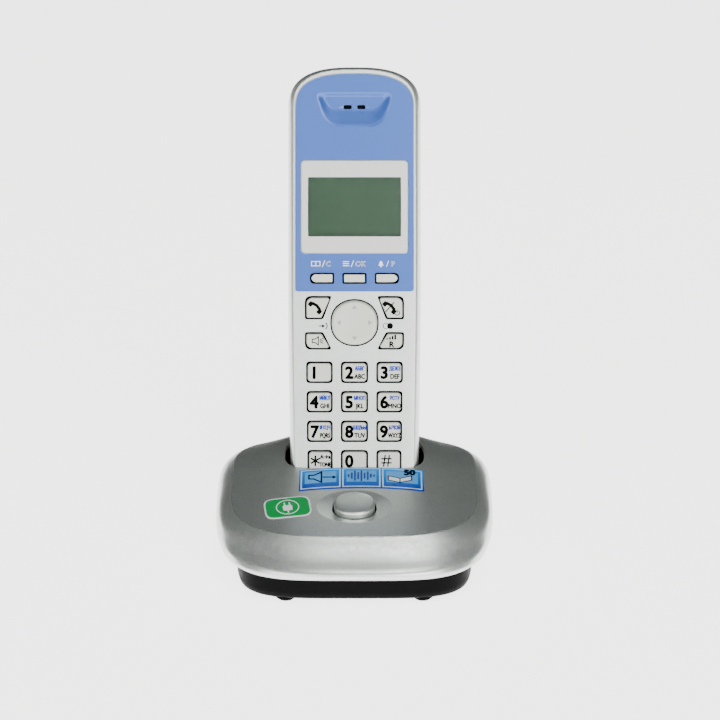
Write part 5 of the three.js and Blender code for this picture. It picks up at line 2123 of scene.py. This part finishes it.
@dataclass
class BaseLabels:
    """Feature label and rounded sticker on the sloping top."""

    form: BaseForm
    half: float = 22.5
    middle: float = 2.5
    front: float = 40.2
    sticker_x: float = -23.8
    sticker_y: float = 27.95

    def surface(self, x: float, y: float, z: float) -> Vector:
        """Give a place over the sloping top."""
        return BASE @ Vector((x, y, self.form.top_height(x, y) + z))

    def beside(self, x: float, y: float, z: float) -> Vector:
        """Give a place over the sloping top, measured from the middle of the arched label."""
        return self.surface(self.middle + x, y, z)

    def arched(self, x: float, low: float, high: float) -> tuple[Point, Point]:
        """Give the front and back points of the arched band, across it and at two heights."""
        bow = 1 - (x / self.half) ** 2
        front, back = self.front - 3 + 1.8 * bow, self.front + 9.4 + 1.7 * bow
        return (x, mix(front, back, low)), (x, mix(front, back, high))

    def band(
        self, left: float, right: float, low: float, high: float, steps: int = 16
    ) -> list[Point]:
        """Draw part of the arched band."""
        spots = [mix(left, right, i / steps) for i in range(steps + 1)]
        pairs = [self.arched(x, low, high) for x in spots]
        return [p for p, _ in pairs] + [q for _, q in reversed(pairs)]

    def feature(self) -> None:
        """Make the arched label: its film, three pillow-like panels and their pictures."""
        art = Artwork(self.beside, 1.6)
        art.polygon(self.band(-self.half, self.half, 0, 1))
        film = art.build("feature_film", [Finishes.film], 0.1, 0.02)
        smooth(film)
        dress(film, None, "base", "label_blue", "feature_label")
        art = Artwork(self.beside, 1.6)
        for left, right in ((-21.9, -7.5), (-6.9, 6.9), (7.5, 21.9)):
            for ink, inset, low, high in (
                (0, 0, 0.06, 0.95), (1, 0.5, 0.1, 0.91), (2, 1.5, 0.3, 0.83)
            ):
                art.polygon(self.band(left + inset, right - inset, low, high, 8), ink)
        y = self.front + 5.0
        for side in (-1, 1):
            page = [
                (13.9, y - 3.1),
                (13.9 + side * 4.2, y - 1.7),
                (13.9 + side * 4.2, y + 0.7),
                (13.9, y - 0.7)
            ]
            art.polygon(page if side > 0 else list(reversed(page)), 3)
        inks = [Finishes.label_pale, Finishes.film, Finishes.film_panel, Finishes.ink_white]
        dress(art.build("feature_panels", inks, 0.04, 0.125), None, "base", "label_blue")
        art = Artwork(self.beside, 1.6)
        y = self.front + 5.0
        cone = [
            (-18.9, y - 1.1),
            (-17.2, y - 1.1),
            (-14.4, y - 3.0),
            (-14.4, y + 3.0),
            (-17.2, y + 1.1),
            (-18.9, y + 1.1)
        ]
        art.stroke(cone, 0.55, 0, True)
        art.stroke([(-14.0, y), (-9.4, y)], 0.5)
        art.polygon([(-10.4, y - 0.9), (-8.9, y), (-10.4, y + 0.9)])
        for i, tall in enumerate((0.8, 1.8, 2.9, 2.1, 3.2, 1.7, 2.5, 1.1, 0.6)):
            x = -4.6 + i * 1.15
            art.stroke([(x, y + 0.8 - tall), (x, y + 0.8 + tall)], 0.6, 1)
        for side in (-1, 1):
            page = [
                (13.9, y - 3.1),
                (13.9 + side * 4.2, y - 1.7),
                (13.9 + side * 4.2, y + 0.7),
                (13.9, y - 0.7)
            ]
            art.stroke(page, 0.4, 0, True)
        art.text("50", 17.4, y + 2.9, 3.0, bold=0.26)
        pictures = art.build(
            "feature_pictures", [Finishes.ink_black, Finishes.ink_deep], 0.03, 0.24
        )
        dress(pictures, None, "base", "label_blue")

    def sticker(self) -> None:
        """Make the rounded sticker with its border and a simple plug picture."""
        turn = Matrix.Rotation(0.14, 2)

        def spot(x: float, y: float, z: float) -> Vector:
            """Place a point of the turned sticker on the sloping top."""
            place = turn @ Vector((x, y))
            return self.surface(self.sticker_x + place.x, self.sticker_y + place.y, z)

        art = Artwork(spot, 1.6)
        art.polygon(rounded_box(16.5, 11.5, 3.5), 0)
        rim = art.build("sticker_film", [Finishes.ink_white], 0.08, 0.02)
        smooth(rim)
        dress(rim, None, "base", "label_green", "energy_label")
        art = Artwork(spot, 1.6)
        art.polygon(rounded_box(15.5, 10.5, 3.1), 0)
        field_film = art.build("sticker_field", [Finishes.label_green], 0.03, 0.14)
        dress(field_film, None, "base", "label_green")
        art = Artwork(spot, 1.6)
        art.polygon(rounded_box(3.4, 3.0, 0.8, 0, -0.4), 0)
        for side in (-1, 1):
            art.stroke([(side * 0.9, 0.9), (side * 0.9, 2.6)], 0.5)
        art.stroke([(0, -1.8), (0, -3.2)], 0.5)
        art.arc(0, 0, 4.0, 0.35, 0, 360)
        picture = art.build("sticker_picture", [Finishes.ink_white], 0.03, 0.18)
        dress(picture, None, "base", "label_green")


# ------------------------------------------------------------------ what is left of the frame


class Interior:
    """Finishes of the frame's own pieces that stay in view or inside the casings."""

    finishes = {
        "lcd_module": ("crystal", "lcd"), "display_backlight": ("guide", "light_guide"),
        "earpiece_speaker": ("black", "black_plastic"),
        "rear_loudspeaker": ("black", "black_plastic"),
        "microphone": ("black", "black_plastic"), "keypad_mat": ("rubber", "dark_rubber"),
        "handset_circuit_board": ("board", "circuit_board"), "battery_left": ("cell", "cell_wrap"),
        "battery_right": ("cell", "cell_wrap"),
        "battery_contact_bottom": ("steel", "contact_metal"),
        "battery_contact_top": ("steel", "contact_metal"),
        "navigator_post": ("rubber", "dark_rubber"),
        "locator_switch": ("black", "black_plastic"),
        "base_circuit_board": ("board", "circuit_board"),
        "line_socket": ("black", "black_plastic"), "power_socket": ("black", "black_plastic"),
    }

    def build(self) -> None:
        """Give each carried-over piece its finish."""
        for node, (finish, slot) in self.finishes.items():
            piece = frame["nodes"][node]
            piece.data.materials.clear()
            piece.data.materials.append(getattr(Finishes, finish).build())
            LOG.info("%s: kept from the frame", node)


# ------------------------------------------------------------------ studio


@dataclass
class Studio:
    """Pale floor, soft lights and the camera."""

    distance: float = 1.1
    lens: float = 151.6
    tilt: float = math.radians(20)
    face_height: float = 76.0
    aim_right: float = 0.002
    aim_down: float = 0.02485

    def floor(self) -> None:
        """Lay the floor."""
        sheet = upright(
            "studio_floor",
            [(-6000, -6000), (6000, -6000), (6000, 6000), (-6000, 6000)],
            -4,
            0,
            BASE
        )
        sheet.data.materials.append(Finishes.floor.build())

    def light(self, name: str, spot: Sequence[float], size: float, power: float) -> None:
        """Hang a square soft light that points at the telephone."""
        lamp = bpy.data.lights.new(name, "AREA")
        lamp.size = size
        lamp.energy = power
        holder = bpy.data.objects.new(name, lamp)
        holder.location = spot
        aim = Vector((0, 0, 0.06)) - Vector(spot)
        holder.rotation_euler = aim.to_track_quat("-Z", "Y").to_euler()
        bpy.context.scene.collection.objects.link(holder)

    def world(self) -> None:
        """Set the soft surroundings."""
        world = bpy.data.worlds.new("surroundings")
        world.use_nodes = True
        shade = world.node_tree.nodes["Background"]
        shade.inputs["Color"].default_value = (0.9, 0.93, 0.95, 1)
        shade.inputs["Strength"].default_value = 0.06
        bpy.context.scene.world = world

    def camera(self) -> None:
        """Stand the camera in front."""
        face = HANDSET @ Vector((0, 0, self.face_height))
        look = Vector((0, math.cos(self.tilt), -math.sin(self.tilt)))
        up = Vector((0, math.sin(self.tilt), math.cos(self.tilt)))
        target = face + Vector((1, 0, 0)) * self.aim_right - up * self.aim_down
        lens = bpy.data.cameras.new("camera")
        lens.lens = self.lens
        lens.sensor_width = 36
        holder = bpy.data.objects.new("camera", lens)
        holder.location = target - look * self.distance
        holder.rotation_euler = look.to_track_quat("-Z", "Y").to_euler()
        bpy.context.scene.collection.objects.link(holder)
        bpy.context.scene.camera = holder

    def build(self) -> None:
        """Set up the whole studio."""
        self.floor()
        self.light("key_light", (0.75, -1.9, 0.95), 1.2, 34)
        self.light("fill_light", (-0.9, -1.9, 0.8), 1.2, 24)
        self.light("top_light", (0.3, -0.9, 2.3), 0.8, 14)
        self.world()
        self.camera()


def main() -> None:
    """Build the telephone piece by piece."""
    logging.basicConfig(level=logging.INFO, format="%(message)s")
    form = HandsetForm()
    casing = HandsetCasing(form)
    panel = PanelForm(form)
    keypad = Keypad(form, KeycapBuilder())
    bars, screws = BarRowBuilder(), ScrewRowBuilder()
    navigator = Navigator()
    casing.front([*keypad.holes(True), navigator.hole()], panel.inset)
    casing.rear(bars)
    casing.cover(bars)
    casing.screws(screws)
    casing.contacts()
    face = FacePanel(panel)
    face.build(keypad.holes(True, False))
    face.marks()
    Display().build()
    keypad.caps()
    keypad.legends()
    keypad.pictures()
    keypad.prints()
    navigator.build()
    base = BaseForm()
    seat = ButtonSeat(base)
    lower = BaseCasing(base)
    lower.upper(seat)
    lower.lower(bars)
    lower.liner()
    lower.contacts()
    lower.screws(screws)
    lower.feet()
    lower.sockets(bars)
    seat.button()
    labels = BaseLabels(base)
    labels.feature()
    labels.sticker()
    Interior().build()
    Studio().build()


if __name__ == "__main__":
    main()
